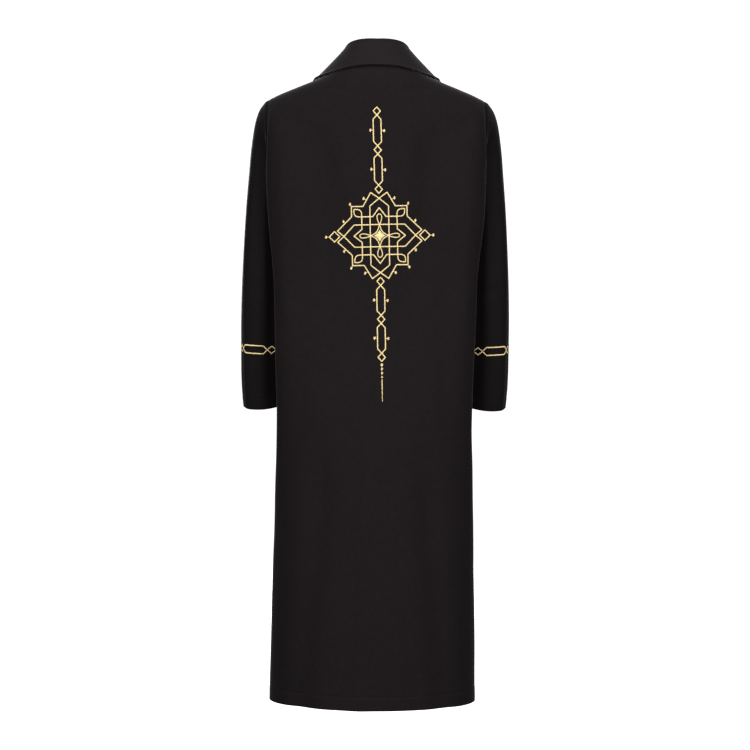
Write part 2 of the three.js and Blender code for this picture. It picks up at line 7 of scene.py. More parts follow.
import sys
import logging
import math
from dataclasses import dataclass, field
from enum import Enum
from typing import Callable, Iterable, Sequence

import bpy
import numpy as np
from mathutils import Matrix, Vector
from mathutils.bvhtree import BVHTree
from mathutils.kdtree import KDTree


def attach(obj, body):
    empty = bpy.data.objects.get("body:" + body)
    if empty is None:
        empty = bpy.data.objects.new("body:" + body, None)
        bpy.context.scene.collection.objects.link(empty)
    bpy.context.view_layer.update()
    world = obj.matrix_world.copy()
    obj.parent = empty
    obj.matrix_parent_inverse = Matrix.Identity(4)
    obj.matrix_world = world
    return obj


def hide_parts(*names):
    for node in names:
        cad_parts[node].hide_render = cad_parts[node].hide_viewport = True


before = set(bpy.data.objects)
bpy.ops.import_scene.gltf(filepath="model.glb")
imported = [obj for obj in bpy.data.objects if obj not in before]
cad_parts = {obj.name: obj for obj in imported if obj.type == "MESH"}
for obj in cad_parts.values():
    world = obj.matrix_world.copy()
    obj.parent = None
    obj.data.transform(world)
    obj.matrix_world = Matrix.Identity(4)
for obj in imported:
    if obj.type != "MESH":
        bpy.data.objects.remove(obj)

Array = np.ndarray
Object = bpy.types.Object
Material = bpy.types.Material
Pair = tuple[float, float]
Triple = tuple[float, float, float]
Numbers = tuple[float, ...]
Run = list[tuple[int, int]]  # row and column of each point
LOG = logging.getLogger("manteau")
METRES = 0.001
MIRROR = np.array([-1.0, 1.0, 1.0])
SLEEVE_SIDES = {"sleeve_left": 1.0, "sleeve_right": -1.0}

Path = tuple[Array, Array, Array]  # points and normals in metres, and widths
Ray = Callable[[float, float], tuple[Vector, Vector]]  # start and direction, by flat point


# ---- curves


def mix(a: Array, b: Array, t: Array) -> Array:
    """Returns the value that lies the share t of the way from a to b."""
    return a + (b - a) * t


def clamp(t: Array) -> Array:
    """Returns t held between 0 and 1."""
    return np.clip(t, 0.0, 1.0)


def smooth(t: Array) -> Array:
    """Returns the soft step through a share t."""
    return t * t * (3.0 - 2.0 * t)


def bell(away: Array, width: float) -> Array:
    """Returns 1 at no distance, falling off softly over a width."""
    return np.exp(-((away / width) ** 2))


def unit(vectors: Array) -> Array:
    """Returns vectors at length 1, along their last axis."""
    return vectors / np.maximum(np.linalg.norm(vectors, axis=-1, keepdims=True), 1e-12)


class Curve:
    """A smooth curve, without overshoot, through the points of a table's column."""

    def __init__(self, xs: Sequence[float], ys: Sequence[float]) -> None:
        """Fits the curve.

        Args:
            xs: the key column, in any order.
            ys: the column of heights.
        """
        order = np.argsort(xs)
        self.xs = np.asarray(xs, float)[order]
        self.ys = np.asarray(ys, float)[order]
        steps = np.diff(self.ys) / np.diff(self.xs)
        before = np.concatenate([steps[:1], steps])
        after = np.concatenate([steps, steps[-1:]])
        same = before * after > 0
        total = np.where(same, before + after, 1.0)
        self.slopes = np.where(same, 2 * before * after / total, 0.0)

    def __call__(self, x: Array) -> Array:
        """Reads the curve.

        Args:
            x: where to read it, which is held to the table's ends.

        Returns:
            The curve's height there.
        """
        at = np.clip(np.asarray(x, float), self.xs[0], self.xs[-1])
        i = np.clip(np.searchsorted(self.xs, at, side="left") - 1, 0, len(self.xs) - 2)
        width = self.xs[i + 1] - self.xs[i]
        t = (at - self.xs[i]) / width
        bend = t * (1 - t) * width
        return mix(self.ys[i], self.ys[i + 1], smooth(t)) + bend * (
            (1 - t) * self.slopes[i] - t * self.slopes[i + 1]
        )


class Table:
    """A table of sizes as smooth curves, one for each column, by its key column."""

    def __init__(self, names: str, rows: Sequence[Sequence[float]]) -> None:
        """Makes a curve from each column.

        Args:
            names: the columns' names, the key column first, with spaces between.
            rows: the table's rows.
        """
        keys, *columns = zip(*rows)
        self.curves = {
            name: Curve(keys, column) for name, column in zip(names.split()[1:], columns)
        }

    def __getitem__(self, name: str) -> Curve:
        """Returns the curve of a column."""
        return self.curves[name]

    def at(self, key: Array) -> dict[str, Array]:
        """Returns the value of every column at a key."""
        return {name: curve(key) for name, curve in self.curves.items()}


def below(z: Array, fade: Pair) -> Array:
    """Returns 0 above a height, the fade's first value, rising to 1 over the run below it."""
    return clamp((fade[0] - z) / fade[1])


# ---- folds


class Face(Enum):
    """The sides of the body that a crease can lie on."""

    BACK = "back"
    FRONT = "front"


@dataclass(frozen=True)
class Fold:
    """A long soft fold that opens from a point down to its foot, in millimetres."""

    face: Face
    x: float
    z: float
    foot_x: float
    foot_z: float
    width: float
    depth: float
    pair: bool = True
    to_hem: bool = True
    opening: float = 0.35  # the share of its length over which it deepens
    closing: float = 0.4  # the share over which it fades, where it ends above the hem

    def height(self, x: Array, z: Array) -> Array:
        """Measures the fold at points of the cloth.

        Args:
            x: how far to the side each point is.
            z: how high it is.

        Returns:
            How far the fold moves the cloth out there.
        """
        along = (z - self.z) / (self.foot_z - self.z)
        rise = smooth(clamp(along / self.opening)) * ((along > 0) & (along < 1))
        if not self.to_hem:
            rise = rise * smooth(clamp((1 - along) / self.closing))
        middle = mix(self.x, self.foot_x, along)
        away = (np.abs(x) if self.pair else x) - middle
        return self.depth * rise * bell(away, self.width)


@dataclass(frozen=True)
class Crease:
    """A trough (depth below 0) or ridge of the cloth along a bent line that fades at its ends.

    The line runs from start over bend to end. Lean makes the side on its left softer than
    the side on its right, or with a minus the other way round.
    """

    start: Pair
    bend: Pair
    end: Pair
    width: float
    depth: float
    lean: float = 0.0
    pair: bool = False
    legs: int = 18  # the straight pieces that stand for the bent line
    reach: float = 3.2  # the widths beyond which it no longer moves the cloth
    start_share: float = 0.04  # how far into its taper the line starts and ends
    taper: float = 0.8

    def height(self, x: Array, z: Array) -> Array:
        """Returns how far the crease, with its twin if it has one, moves the cloth out."""
        twin = self._one(-x, z) if self.pair else 0.0
        return self._one(x, z) + twin

    def _one(self, x: Array, z: Array) -> Array:
        """Measures the crease itself, without its twin.

        Args:
            x: how far to the side each point is.
            z: how high it is.

        Returns:
            How far it moves the cloth out there.
        """
        t = np.linspace(0, 1, self.legs + 1)[:, None]
        line = (
            (1 - t) ** 2 * np.array(self.start)
            + 2 * t * (1 - t) * np.array(self.bend)
            + t**2 * np.array(self.end)
        )
        out = np.zeros(x.shape)
        reach = self.reach * self.width * (1 + abs(self.lean))
        low, high = line.min(0) - reach, line.max(0) + reach
        near = (x > low[0]) & (x < high[0]) & (z > low[1]) & (z < high[1])
        if not near.any():
            return out
        spot = np.stack([x[near], z[near]], -1)[:, None, :]
        leg = line[1:] - line[:-1]
        share = clamp(((spot - line[:-1]) * leg).sum(-1) / (leg**2).sum(-1))
        off = spot - (line[:-1] + share[..., None] * leg)
        away = np.linalg.norm(off, axis=-1)
        pick = away.argmin(1)
        rows = np.arange(len(pick))
        side = np.sign(leg[pick, 0] * off[rows, pick, 1] - leg[pick, 1] * off[rows, pick, 0])
        along = (pick + share[rows, pick]) / len(leg)
        share = self.start_share + (1 - 2 * self.start_share) * along
        taper = np.sin(np.pi * clamp(share)) ** self.taper
        width = self.width * (1 + self.lean * side)
        out[near] = self.depth * taper * bell(away[rows, pick], width)
        return out


@dataclass(frozen=True)
class Ease:
    """The slight unevenness of hanging cloth: a few long waves, in millimetres.

    Each wave is given by its length across, its length along, its shift and its height.
    """

    waves: tuple[Numbers, ...]
    wobble: float = 1.3
    wobble_length: float = 97.0

    def height(self, x: Array, z: Array) -> Array:
        """Adds up the waves at points of the cloth.

        Args:
            x: how far to the side each point is.
            z: how high it is.

        Returns:
            The waves' height there.
        """
        total = np.zeros(np.broadcast(x, z).shape)
        for across, along, shift, amount in self.waves:
            wobble = self.wobble * np.sin(z / self.wobble_length + shift)
            total += amount * np.sin(2 * np.pi * (x / across + z / along) + shift + wobble)
        return total


HANG = Ease(
    (
        (173.0, 611.0, 0.4, 0.45),
        (-118.0, 487.0, 2.1, 0.35),
        (71.0, -533.0, 4.0, 0.2),
        (260.0, 149.0, 1.2, 0.22),
    )
)


# ---- form of the body


@dataclass(frozen=True)
class BodyForm:
    """Where the outer face of the coat's body lies, by the angle round it and the height."""

    hem_z: float = -1220.0
    underarm_z: float = -230.0
    tip: Pair = (209.0, -58.5)
    neck_half: float = 68.0
    neck_side_z: float = 8.0
    neck_crown: float = 21.8
    neck_back_y: float = 62.0
    neck_front_y: float = 78.0
    side_seam_y: float = -5.0
    armhole_back_y: float = 60.0
    armhole_front_y: float = -52.0
    rounding_back: float = 130.0
    rounding_front: float = 235.0
    wall_bend: float = 0.7
    front_spread: float = 1.7
    square_back: Pair = (2.5, 2.0)  # how squarely it turns, at neck and tip
    square_front: Pair = (1.0, 2.0)
    body: Table = Table(
        "z ridge_x ridge_y back_y side_x front_y",
        (
            (-1220, 198.0, 20, 145, 199, 138),
            (-1110, 196.5, 24, 140, 198, 134),
            (-965, 193.5, 30, 134, 195, 130),
            (-850, 190.5, 38, 130, 190, 128),
            (-760, 188.5, 46, 127, 180, 126),
            (-680, 187.0, 54, 124, 166, 125),
            (-600, 187.0, 59, 120, 160, 124),
            (-500, 187.5, 60, 112, 160, 122),
            (-418, 188.5, 60, 108, 160, 122),
            (-372, 191.5, 60, 109, 160, 124),
            (-327, 196.5, 60, 112, 160, 127),
            (-281, 201.0, 60, 115, 160, 128),
            (-230, 204.5, 60, 118, 163, 126),
            (-189, 206.0, 60, 118, 180, 122),
            (-144, 207.8, 60, 116, 201, 117),
            (-97, 208.5, 60, 113, 217, 113),
            (-58.5, 209.0, 60, 112, 232.7, 112),
        ),
    )
    shoulder: Curve = Curve((68, 90, 122, 151, 190, 209), (8, -6, -21.5, -33, -49, -58.5))
    folds: tuple[Fold, ...] = (
        Fold(Face.BACK, 84, -640, 138, -1250, 24, -6.5),
        Fold(Face.BACK, 104, -60, 92, -440, 30, -6, to_hem=False),
        Fold(Face.BACK, 168, -100, 160, -640, 22, 3.5, to_hem=False),
        Fold(Face.BACK, 2, -560, 26, -1240, 20, 3.5, pair=False),
        Fold(Face.FRONT, 62, -330, 84, -1260, 24, -6),
        Fold(Face.FRONT, 108, -420, 152, -1250, 20, -5, pair=False),
        Fold(Face.FRONT, -112, -520, -138, -1240, 22, -5.5, pair=False),
        Fold(Face.FRONT, 118, -60, 102, -330, 24, -4.5, to_hem=False),
    )

    @property
    def armhole_mid(self) -> float:
        """Returns the height of the armhole's middle."""
        return (self.tip[1] + self.underarm_z) / 2

    @property
    def armhole_half(self) -> float:
        """Returns half the armhole's height."""
        return (self.tip[1] - self.underarm_z) / 2

    def crest(self, x: Array) -> Array:
        """Finds the shoulder line, run on across the neck opening.

        Args:
            x: how far to the side.

        Returns:
            Its height.
        """
        across = np.abs(x) / self.neck_half
        neck = self.neck_side_z + self.neck_crown * (1 - across**2)
        return np.where(across >= 1, self.shoulder(np.abs(x)), neck)

    def rounding(self, x: Array, face: Face) -> tuple[Array, Array]:
        """Says how the cloth rounds over the shoulder.

        Args:
            x: how far to the side.
            face: the back or the front.

        Returns:
            The height that the rounding takes, and how squarely it turns.
        """
        across = clamp(np.abs(x) / self.tip[0])
        if face is Face.FRONT:
            beyond = clamp((np.abs(x) - self.neck_half) / (self.tip[0] - self.neck_half))
            height = mix(self.rounding_front, self.armhole_half, across**self.front_spread)
            return height, mix(*self.square_front, smooth(beyond))
        height = mix(self.rounding_back, self.armhole_half, across)
        return height, mix(*self.square_back, smooth(across))

    def rounded(self, x: Array, z: Array, face: Face) -> Array:
        """Finds how far the cloth has rounded over the shoulder.

        Args:
            x: how far to the side.
            z: the height.
            face: the back or the front.

        Returns:
            The share of its full depth that the cloth has reached there.
        """
        height, square = self.rounding(x, face)
        left = 1 - clamp((self.crest(x) - z) / height)
        return np.maximum(1 - left * left, 0) ** (1 / square)

    def neckline(self, x: Array, face: Face) -> Array:
        """Finds the neckline, or the shoulder seam beside it.

        Args:
            x: how far to the side.
            face: the back or the front.

        Returns:
            Its height.
        """
        height, square = self.rounding(x, face)
        across = np.minimum(1, np.abs(x) / self.neck_half)
        front = face is Face.FRONT
        full = self.body["front_y" if front else "back_y"](self.tip[1])
        reach = self.neck_front_y if front else self.neck_back_y
        share = reach * np.sqrt(1 - across * across) / full
        return self.crest(x) - height * (1 - np.sqrt(1 - share**square))

    def fold_height(self, face: Face, x: Array, z: Array) -> Array:
        """Returns the depth that the long folds of a face add."""
        return sum(fold.height(x, z) for fold in self.folds if fold.face is face)

    def back(self, phi: Array, z: Array, side: float) -> Array:
        """Places points of the back.

        Args:
            phi: the angle from centre back (0) to the ridge (a right angle).
            z: the height.
            side: 1 for the left and -1 for the right.

        Returns:
            The points.
        """
        ridge_x, ridge_y = self.body["ridge_x"](z), self.body["ridge_y"](z)
        x = side * ridge_x * np.sin(phi)
        depth = mix(ridge_y, self.body["back_y"](z), np.cos(phi))
        full = depth + self.fold_height(Face.BACK, x, z)
        share = self.rounded(self.tip[0] * np.sin(phi), z, Face.BACK)
        return np.stack(np.broadcast_arrays(x, full * share, z), -1)

    def wall(self, share: Array, z: Array, side: float) -> Array:
        """Places points of the back behind the arm.

        Args:
            share: the way from the ridge (0) to the side seam (1).
            z: the height.
            side: 1 for the left and -1 for the right.

        Returns:
            The points.
        """
        bent = smooth(share**self.wall_bend)
        x = mix(self.body["ridge_x"](z), self.body["side_x"](z), bent)
        y = mix(self.body["ridge_y"](z), self.side_seam_y, share)
        return np.stack(np.broadcast_arrays(side * x, y, z), -1)

    def front(self, phi: Array, z: Array, side: float) -> Array:
        """Places points of a front.

        Args:
            phi: the angle from centre front (0) to the side (a right angle).
            z: the height.
            side: 1 for the left and -1 for the right.

        Returns:
            The points.
        """
        x = side * self.body["side_x"](z) * np.sin(phi)
        full = mix(self.side_seam_y, -self.body["front_y"](z), np.cos(phi))
        full = full - self.fold_height(Face.FRONT, x, z)
        top = self.body["side_x"](self.tip[1]) * np.sin(phi)
        return np.stack(np.broadcast_arrays(x, full * self.rounded(top, z, Face.FRONT), z), -1)

    def at(self, x: Array, z: Array, face: Face) -> Array:
        """Places outer points of the left half by how far to the side they are.

        Args:
            x: how far to the side.
            z: the height.
            face: the back or the front.

        Returns:
            The points.
        """
        width = self.body["side_x" if face is Face.FRONT else "ridge_x"](z)
        phi = np.arcsin(clamp(x / width))
        return (self.front if face is Face.FRONT else self.back)(phi, z, 1.0)

    def lower_oval(self, z: Array) -> Array:
        """Returns the half width, from 0 to 1, of the armhole's lower half at a height."""
        up = clamp((self.armhole_mid - z) / self.armhole_half)
        return np.sqrt(1 - up * up)

    def wall_end(self, z: Array) -> Array:
        """Finds where the back's wall ends: at the armhole, or below it at the side seam.

        Args:
            z: the height.

        Returns:
            The share of the wall that is there.
        """
        edge = mix(self.side_seam_y, self.armhole_back_y, self.lower_oval(z))
        share = (self.armhole_back_y - edge) / (self.armhole_back_y - self.side_seam_y)
        return np.where(z >= self.armhole_mid, 0.0, np.where(z <= self.underarm_z, 1.0, share))

    def front_end(self, z: Array) -> Array:
        """Finds the front's last angle: at the armhole, or below it at the side seam.

        Args:
            z: the height.

        Returns:
            The angle.
        """
        depth = self.side_seam_y - self.armhole_front_y
        reach = np.where(z >= self.armhole_mid, 1.0, self.lower_oval(z)) * depth
        full = self.body["front_y"](np.minimum(z, self.tip[1])) + self.side_seam_y
        return np.where(z <= self.underarm_z, math.pi / 2, np.arccos(reach / full))

    def armhole(self, turn: Array) -> Array:
        """Places points of the left armhole.

        Args:
            turn: the way round it, 0 at the shoulder tip and on through the back.

        Returns:
            The points.
        """
        z = self.armhole_mid + self.armhole_half * np.cos(turn)
        before = self.front(self.front_end(z), z, 1.0)
        ridge = self.back(np.full_like(z, math.pi / 2), z, 1.0)
        wall = self.wall(self.wall_end(z), z, 1.0)
        behind = np.where((z >= self.armhole_mid)[..., None], ridge, wall)
        return np.where((np.sin(turn) < 0)[..., None], before, behind)


# ---- cloth


def grid_normals(grid: Array, tube: bool = False) -> Array:
    """Finds the outward normals of a grid whose rows run down and columns across.

    Args:
        grid: points, as rows by columns by 3.
        tube: whether the last column joins the first.

    Returns:
        Unit normals of the same shape.
    """
    if tube:
        across = np.roll(grid, -1, 1) - np.roll(grid, 1, 1)
    else:
        across = np.gradient(grid, axis=1)
    return unit(np.cross(np.gradient(grid, axis=0), across))


def run_length(grid: Array, axis: int) -> Array:
    """Returns how far along its row (axis 1) or column (axis 0) each point of a grid is."""
    steps = np.linalg.norm(np.diff(grid, axis=axis), axis=-1)
    return np.insert(np.cumsum(steps, axis=axis), 0, 0.0, axis=axis)


class Edge(Enum):
    """The edges of a cut piece of cloth."""

    TOP = "top"
    BOTTOM = "bottom"
    FIRST = "first"
    LAST = "last"


class WallMesh:
    """A closed wall of cloth while it is put together: its points, faces and UV map."""

    def __init__(self, outer: Array, inner: Array, uv: tuple[Array, Array], turns: int) -> None:
        """Starts with the two faces of the cloth.

        Args:
            outer: the outer face's points, as rows by columns by 3.
            inner: the inner face's points.
            uv: the outer face's map, as u and v, with its first column again for a tube.
            turns: how many steps a rounded edge takes.
        """
        self.outer, self.inner, self.turns = outer, inner, turns
        self.u, self.v = uv
        self.points = [outer.reshape(-1, 3), inner.reshape(-1, 3)]
        self.faces: list[Array] = []
        self.maps: list[Array] = []
        rows, columns = outer.shape[:2]
        ids = np.arange(rows * columns).reshape(rows, columns)
        ids = ids[:, np.arange(self.u.shape[1]) % columns]
        self.quads(ids, self.u, self.v, False)
        self.quads(ids + rows * columns, self.u, self.v, True)

    def quads(self, ids: Array, us: Array, vs: Array, turned: bool) -> None:
        """Adds the faces of a grid of point numbers.

        Args:
            ids: the point numbers, as rows by columns.
            us: the u of each.
            vs: the v of each.
            turned: whether the faces look the other way.
        """
        rows, columns = ids.shape[0] - 1, ids.shape[1] - 1
        corners = [(0, 0), (1, 0), (1, 1), (0, 1)][:: -1 if turned else 1]
        cells = [np.s_[r : rows + r, c : columns + c] for r, c in corners]
        picks = [np.stack([part[cell].reshape(-1) for cell in cells], -1) for part in (ids, us, vs)]
        self.faces.append(picks[0])
        self.maps.append(np.stack(picks[1:], -1))

    def rim(self, path: Run, outwards: Array) -> None:
        """Adds the rounded edge along a closed run of grid points.

        Args:
            path: the row and column of each point.
            outwards: the direction out of the cloth at each.
        """
        rows, columns = self.outer.shape[:2]
        r, c = (np.array(part) for part in zip(*path))
        a, b = self.outer[r, c], self.inner[r, c]
        middle, half = (a + b) / 2, (a - b) / 2
        bulge = outwards * np.linalg.norm(half, axis=-1, keepdims=True)
        start = sum(len(part) for part in self.points)
        loops = [r * columns + c]
        for k in range(1, self.turns):
            angle = math.pi * k / self.turns
            self.points.append(middle + half * math.cos(angle) + bulge * math.sin(angle))
            loops.append(start + (k - 1) * len(path) + np.arange(len(path)))
        loops.append(loops[0] + rows * columns)
        one_more = ((0, 0), (0, 1))
        ids = np.pad(np.stack(loops), one_more, mode="wrap")
        us, vs = (
            np.pad(np.tile(part[r, c], (len(loops), 1)), one_more, mode="edge")
            for part in (self.u, self.v)
        )
        self.quads(ids, us, vs, True)

    def build(self, name: str) -> Object:
        """Makes the named object, in metres."""
        points = np.concatenate(self.points) * METRES
        return make_object(name, points, np.concatenate(self.faces), np.concatenate(self.maps))


@dataclass
class Panel:
    """A cut piece of cloth in its worn form: its outer face as a grid, and its thickness."""

    grid: Array
    thickness: Array | float
    tube: bool = False
    turns: int = 4

    def lift(self, heights: Array) -> None:
        """Moves each point of the outer face out by its own height."""
        self.grid = self.grid + grid_normals(self.grid, self.tube) * heights[..., None]

    def edge_distance(self, edge: Edge) -> Array:
        """Measures how far each point is from an edge.

        Args:
            edge: the edge.

        Returns:
            The distance along the cloth's rows or columns.
        """
        if edge in (Edge.TOP, Edge.BOTTOM):
            run = run_length(self.grid, 0)
            return run if edge is Edge.TOP else run[-1:] - run
        run = run_length(self.grid, 1)
        return run if edge is Edge.FIRST else run[:, -1:] - run

    def closed(self) -> Array:
        """Returns the outer face, with its first column again where it is a tube."""
        return np.concatenate([self.grid, self.grid[:, :1]], 1) if self.tube else self.grid

    def flat_size(self) -> Triple:
        """Measures the cut along the surface.

        Returns:
            Its greatest width, its greatest length and its area, in metres.
        """
        grid = self.closed()
        a, b, c, d = grid[:-1, :-1], grid[1:, :-1], grid[1:, 1:], grid[:-1, 1:]
        area = np.linalg.norm(np.cross(c - a, d - b), axis=-1).sum() / 2
        width = run_length(grid, 1)[:, -1].max()
        length = run_length(grid, 0)[-1].max()
        return width * METRES, length * METRES, area * METRES**2

    def rims(self) -> list[tuple[Run, Array]]:
        """Lists the closed edges of the cloth.

        Returns:
            For each, its run of grid points and the directions out of the cloth.
        """
        outer = self.grid
        rows, columns = outer.shape[:2]
        top, low = unit(outer[0] - outer[1]), unit(outer[-1] - outer[-2])
        path = [(0, c) for c in range(columns)]
        if self.tube:
            turned = list(range(columns - 1, -1, -1))
            return [(path, top), ([(rows - 1, c) for c in turned], low[turned])]
        left, right = unit(outer[:, 0] - outer[:, 1]), unit(outer[:, -1] - outer[:, -2])
        path += [(r, columns - 1) for r in range(1, rows)]
        path += [(rows - 1, c) for c in range(columns - 2, -1, -1)]
        path += [(r, 0) for r in range(rows - 2, 0, -1)]
        out = np.concatenate([top, right[1:], low[-2::-1], left[-2:0:-1]])
        corners = [0, columns - 1, columns + rows - 2, 2 * columns + rows - 3]
        both = [top[0] + left[0], top[-1] + right[0], low[-1] + right[-1], low[0] + left[-1]]
        out[corners] = unit(np.array(both))
        return [(path, out)]

    def mesh(self, name: str) -> Object:
        """Builds the closed wall of cloth with rounded edges.

        Args:
            name: the new object's name.

        Returns:
            The object, with a UV map in metres that follows the cloth's grain.
        """
        outer, closed = self.grid, self.closed()
        thick = np.broadcast_to(np.asarray(self.thickness, float), outer.shape[:2])
        inner = outer - grid_normals(outer, self.tube) * thick[..., None]
        u, v = run_length(closed, 1), run_length(closed, 0)
        u = (u - u[:, u.shape[1] // 2][:, None]) * METRES
        v = (v[-1:] - v) * METRES
        wall = WallMesh(outer, inner, (u, v), self.turns)
        for path, outwards in self.rims():
            wall.rim(path, outwards)
        return wall.build(name)


def make_object(name: str, points: Array, faces: Array, uv: Array | None = None) -> Object:
    """Makes a smooth-shaded mesh object at the origin.

    Args:
        name: the object's name.
        points: its points, in metres.
        faces: its faces, as point numbers.
        uv: the UV of each face's corners.

    Returns:
        The new object, linked to the scene.
    """
    mesh = bpy.data.meshes.new(name)
    mesh.from_pydata(points.tolist(), [], faces.tolist())
    if uv is not None:
        layer = mesh.uv_layers.new(name="grain")
        layer.data.foreach_set("uv", uv.reshape(-1).astype(np.float32))
    mesh.polygons.foreach_set("use_smooth", np.ones(len(mesh.polygons), bool))
    mesh.update()
    obj = bpy.data.objects.new(name, mesh)
    bpy.context.scene.collection.objects.link(obj)
    return obj


@dataclass(frozen=True)
class Seam:
    """How cloth lies beside a seam: it dips into the stitching over its turned-in edge."""

    dip: float = 1.1
    reach: float = 1.7
    allowance: float = 11.0
    print_through: float = 0.28
    blend: float = 3.0

    def height(self, away: Array) -> Array:
        """Returns how far the cloth moves out at a distance from the seam."""
        raised = self.print_through * smooth(clamp((self.allowance - away) / self.blend + 0.5))
        return raised - self.dip * bell(away, self.reach)


@dataclass(frozen=True)
class TurnedHem:
    """A turned-up edge: a thicker band below a line of blind stitches."""

    depth: float = 24.0
    band: float = 0.45
    groove: float = 0.4
    pull: float = 0.22
    pitch: float = 9.0
    blend: float = 2.4
    groove_place: Pair = (0.8, 1.6)  # how far beyond the band, and its width

    def height(self, away: Array, along: Array) -> Array:
        """Measures the turned edge at points of the cloth.

        Args:
            away: how far each point is from the edge.
            along: how far along the edge it is.

        Returns:
            How far the cloth moves out there.
        """
        band = self.band * smooth(clamp((self.depth - away) / self.blend + 0.5))
        puckers = 1 + self.pull / self.groove * np.cos(2 * np.pi * along / self.pitch)
        off, width = self.groove_place
        return band - self.groove * bell(away - self.depth - off, width) * puckers


# ---- finishes


class Socket:
    """A node's output as a value in a sum: operators on it add the Math nodes they need."""

    def __init__(self, nodes: "NodeTree", out: bpy.types.NodeSocket) -> None:
        """Wraps an output socket of a node in a tree."""
        self.nodes = nodes
        self.out = out

    def _math(self, operation: str, a: object, b: object) -> "Socket":
        """Adds a Math node on two values or sockets and returns its result."""
        return self.nodes.add("ShaderNodeMath", {"operation": operation}, {0: a, 1: b})

    def __add__(self, other: object) -> "Socket":
        """Returns self + other."""
        return self._math("ADD", self, other)

    def __radd__(self, other: object) -> "Socket":
        """Returns other + self."""
        return self._math("ADD", other, self)

    def __sub__(self, other: object) -> "Socket":
        """Returns self - other."""
        return self._math("SUBTRACT", self, other)

    def __rsub__(self, other: object) -> "Socket":
        """Returns other - self."""
        return self._math("SUBTRACT", other, self)

    def __mul__(self, other: object) -> "Socket":
        """Returns self * other."""
        return self._math("MULTIPLY", self, other)

    def __rmul__(self, other: object) -> "Socket":
        """Returns other * self."""
        return self._math("MULTIPLY", other, self)


class NodeTree:
    """A material's or modifier's node tree, built one node at a time."""

    def __init__(self, tree: bpy.types.NodeTree) -> None:
        """Takes the tree and empties it."""
        self.tree = tree
        tree.nodes.clear()

    def add(
        self,
        kind: str,
        settings: dict[str, object],
        sockets: dict[int | str, object],
        out: int | str = 0,
    ) -> Socket:
        """Adds a node.

        Args:
            kind: the node's type.
            settings: its properties, which are set before its sockets.
            sockets: values or other sockets, by input number or name.
            out: the output to return.

        Returns:
            The chosen output.
        """
        node = self.tree.nodes.new(kind)
        for name, value in settings.items():
            setattr(node, name, value)
        for key, value in sockets.items():
            if isinstance(value, Socket):
                self.tree.links.new(value.out, node.inputs[key])
            else:
                node.inputs[key].default_value = value
        return Socket(self, node.outputs[out] if len(node.outputs) else None)

    def noise(self, place: Socket, scale: float, detail: float, rough: float = 0.5) -> Socket:
        """Adds a noise texture that is read at a place, and returns its value."""
        sockets = {"Vector": place, "Scale": scale, "Detail": detail, "Roughness": rough}
        return self.add("ShaderNodeTexNoise", {}, sockets, "Fac")

    def wave(self, place: Socket, direction: str, scale: float) -> Socket:
        """Adds slightly uneven bands across a direction, and returns their value."""
        sockets = {"Vector": place, "Scale": scale, "Distortion": 1.2, "Detail": 1.0}
        return self.add("ShaderNodeTexWave", {"bands_direction": direction}, sockets, "Fac")

    def blend(self, share: Socket, low: Numbers, high: Numbers) -> Socket:
        """Adds a mix of two colours by the share of the second, and returns it."""
        return self.add("ShaderNodeMix", {"data_type": "RGBA"}, {0: share, 6: low, 7: high}, 2)

    def bump(self, height: Socket, distance: float, strength: float) -> Socket:
        """Adds a bump of a depth in metres, and returns the changed normal."""
        sockets = {"Height": height, "Distance": distance, "Strength": strength}
        return self.add("ShaderNodeBump", {}, sockets, "Normal")

    def surface(self, sockets: dict[int | str, object]) -> None:
        """Adds a Principled shader with its sockets, and the material's output."""
        shader = self.add("ShaderNodeBsdfPrincipled", {}, sockets)
        self.add("ShaderNodeOutputMaterial", {}, {"Surface": shader})

    def attribute(self, name: str, kind: str) -> Socket:
        """Adds a geometry's named attribute of a data type, and returns its value."""
        settings, sockets = {"data_type": kind}, {"Name": name}
        return self.add("GeometryNodeInputNamedAttribute", settings, sockets, "Attribute")

    def random(self, low: float, high: float, seed: Socket) -> Socket:
        """Adds a random number between two values for each point, and returns it."""
        sockets = {2: low, 3: high, "Seed": seed}
        return self.add("FunctionNodeRandomValue", {"data_type": "FLOAT"}, sockets, 1)


def shader_tree(name: str) -> tuple[Material, NodeTree]:
    """Makes a new material.

    Args:
        name: its name.

    Returns:
        The material and its empty node tree.
    """
    material = bpy.data.materials.new(name)
    material.use_nodes = True
    return material, NodeTree(material.node_tree)


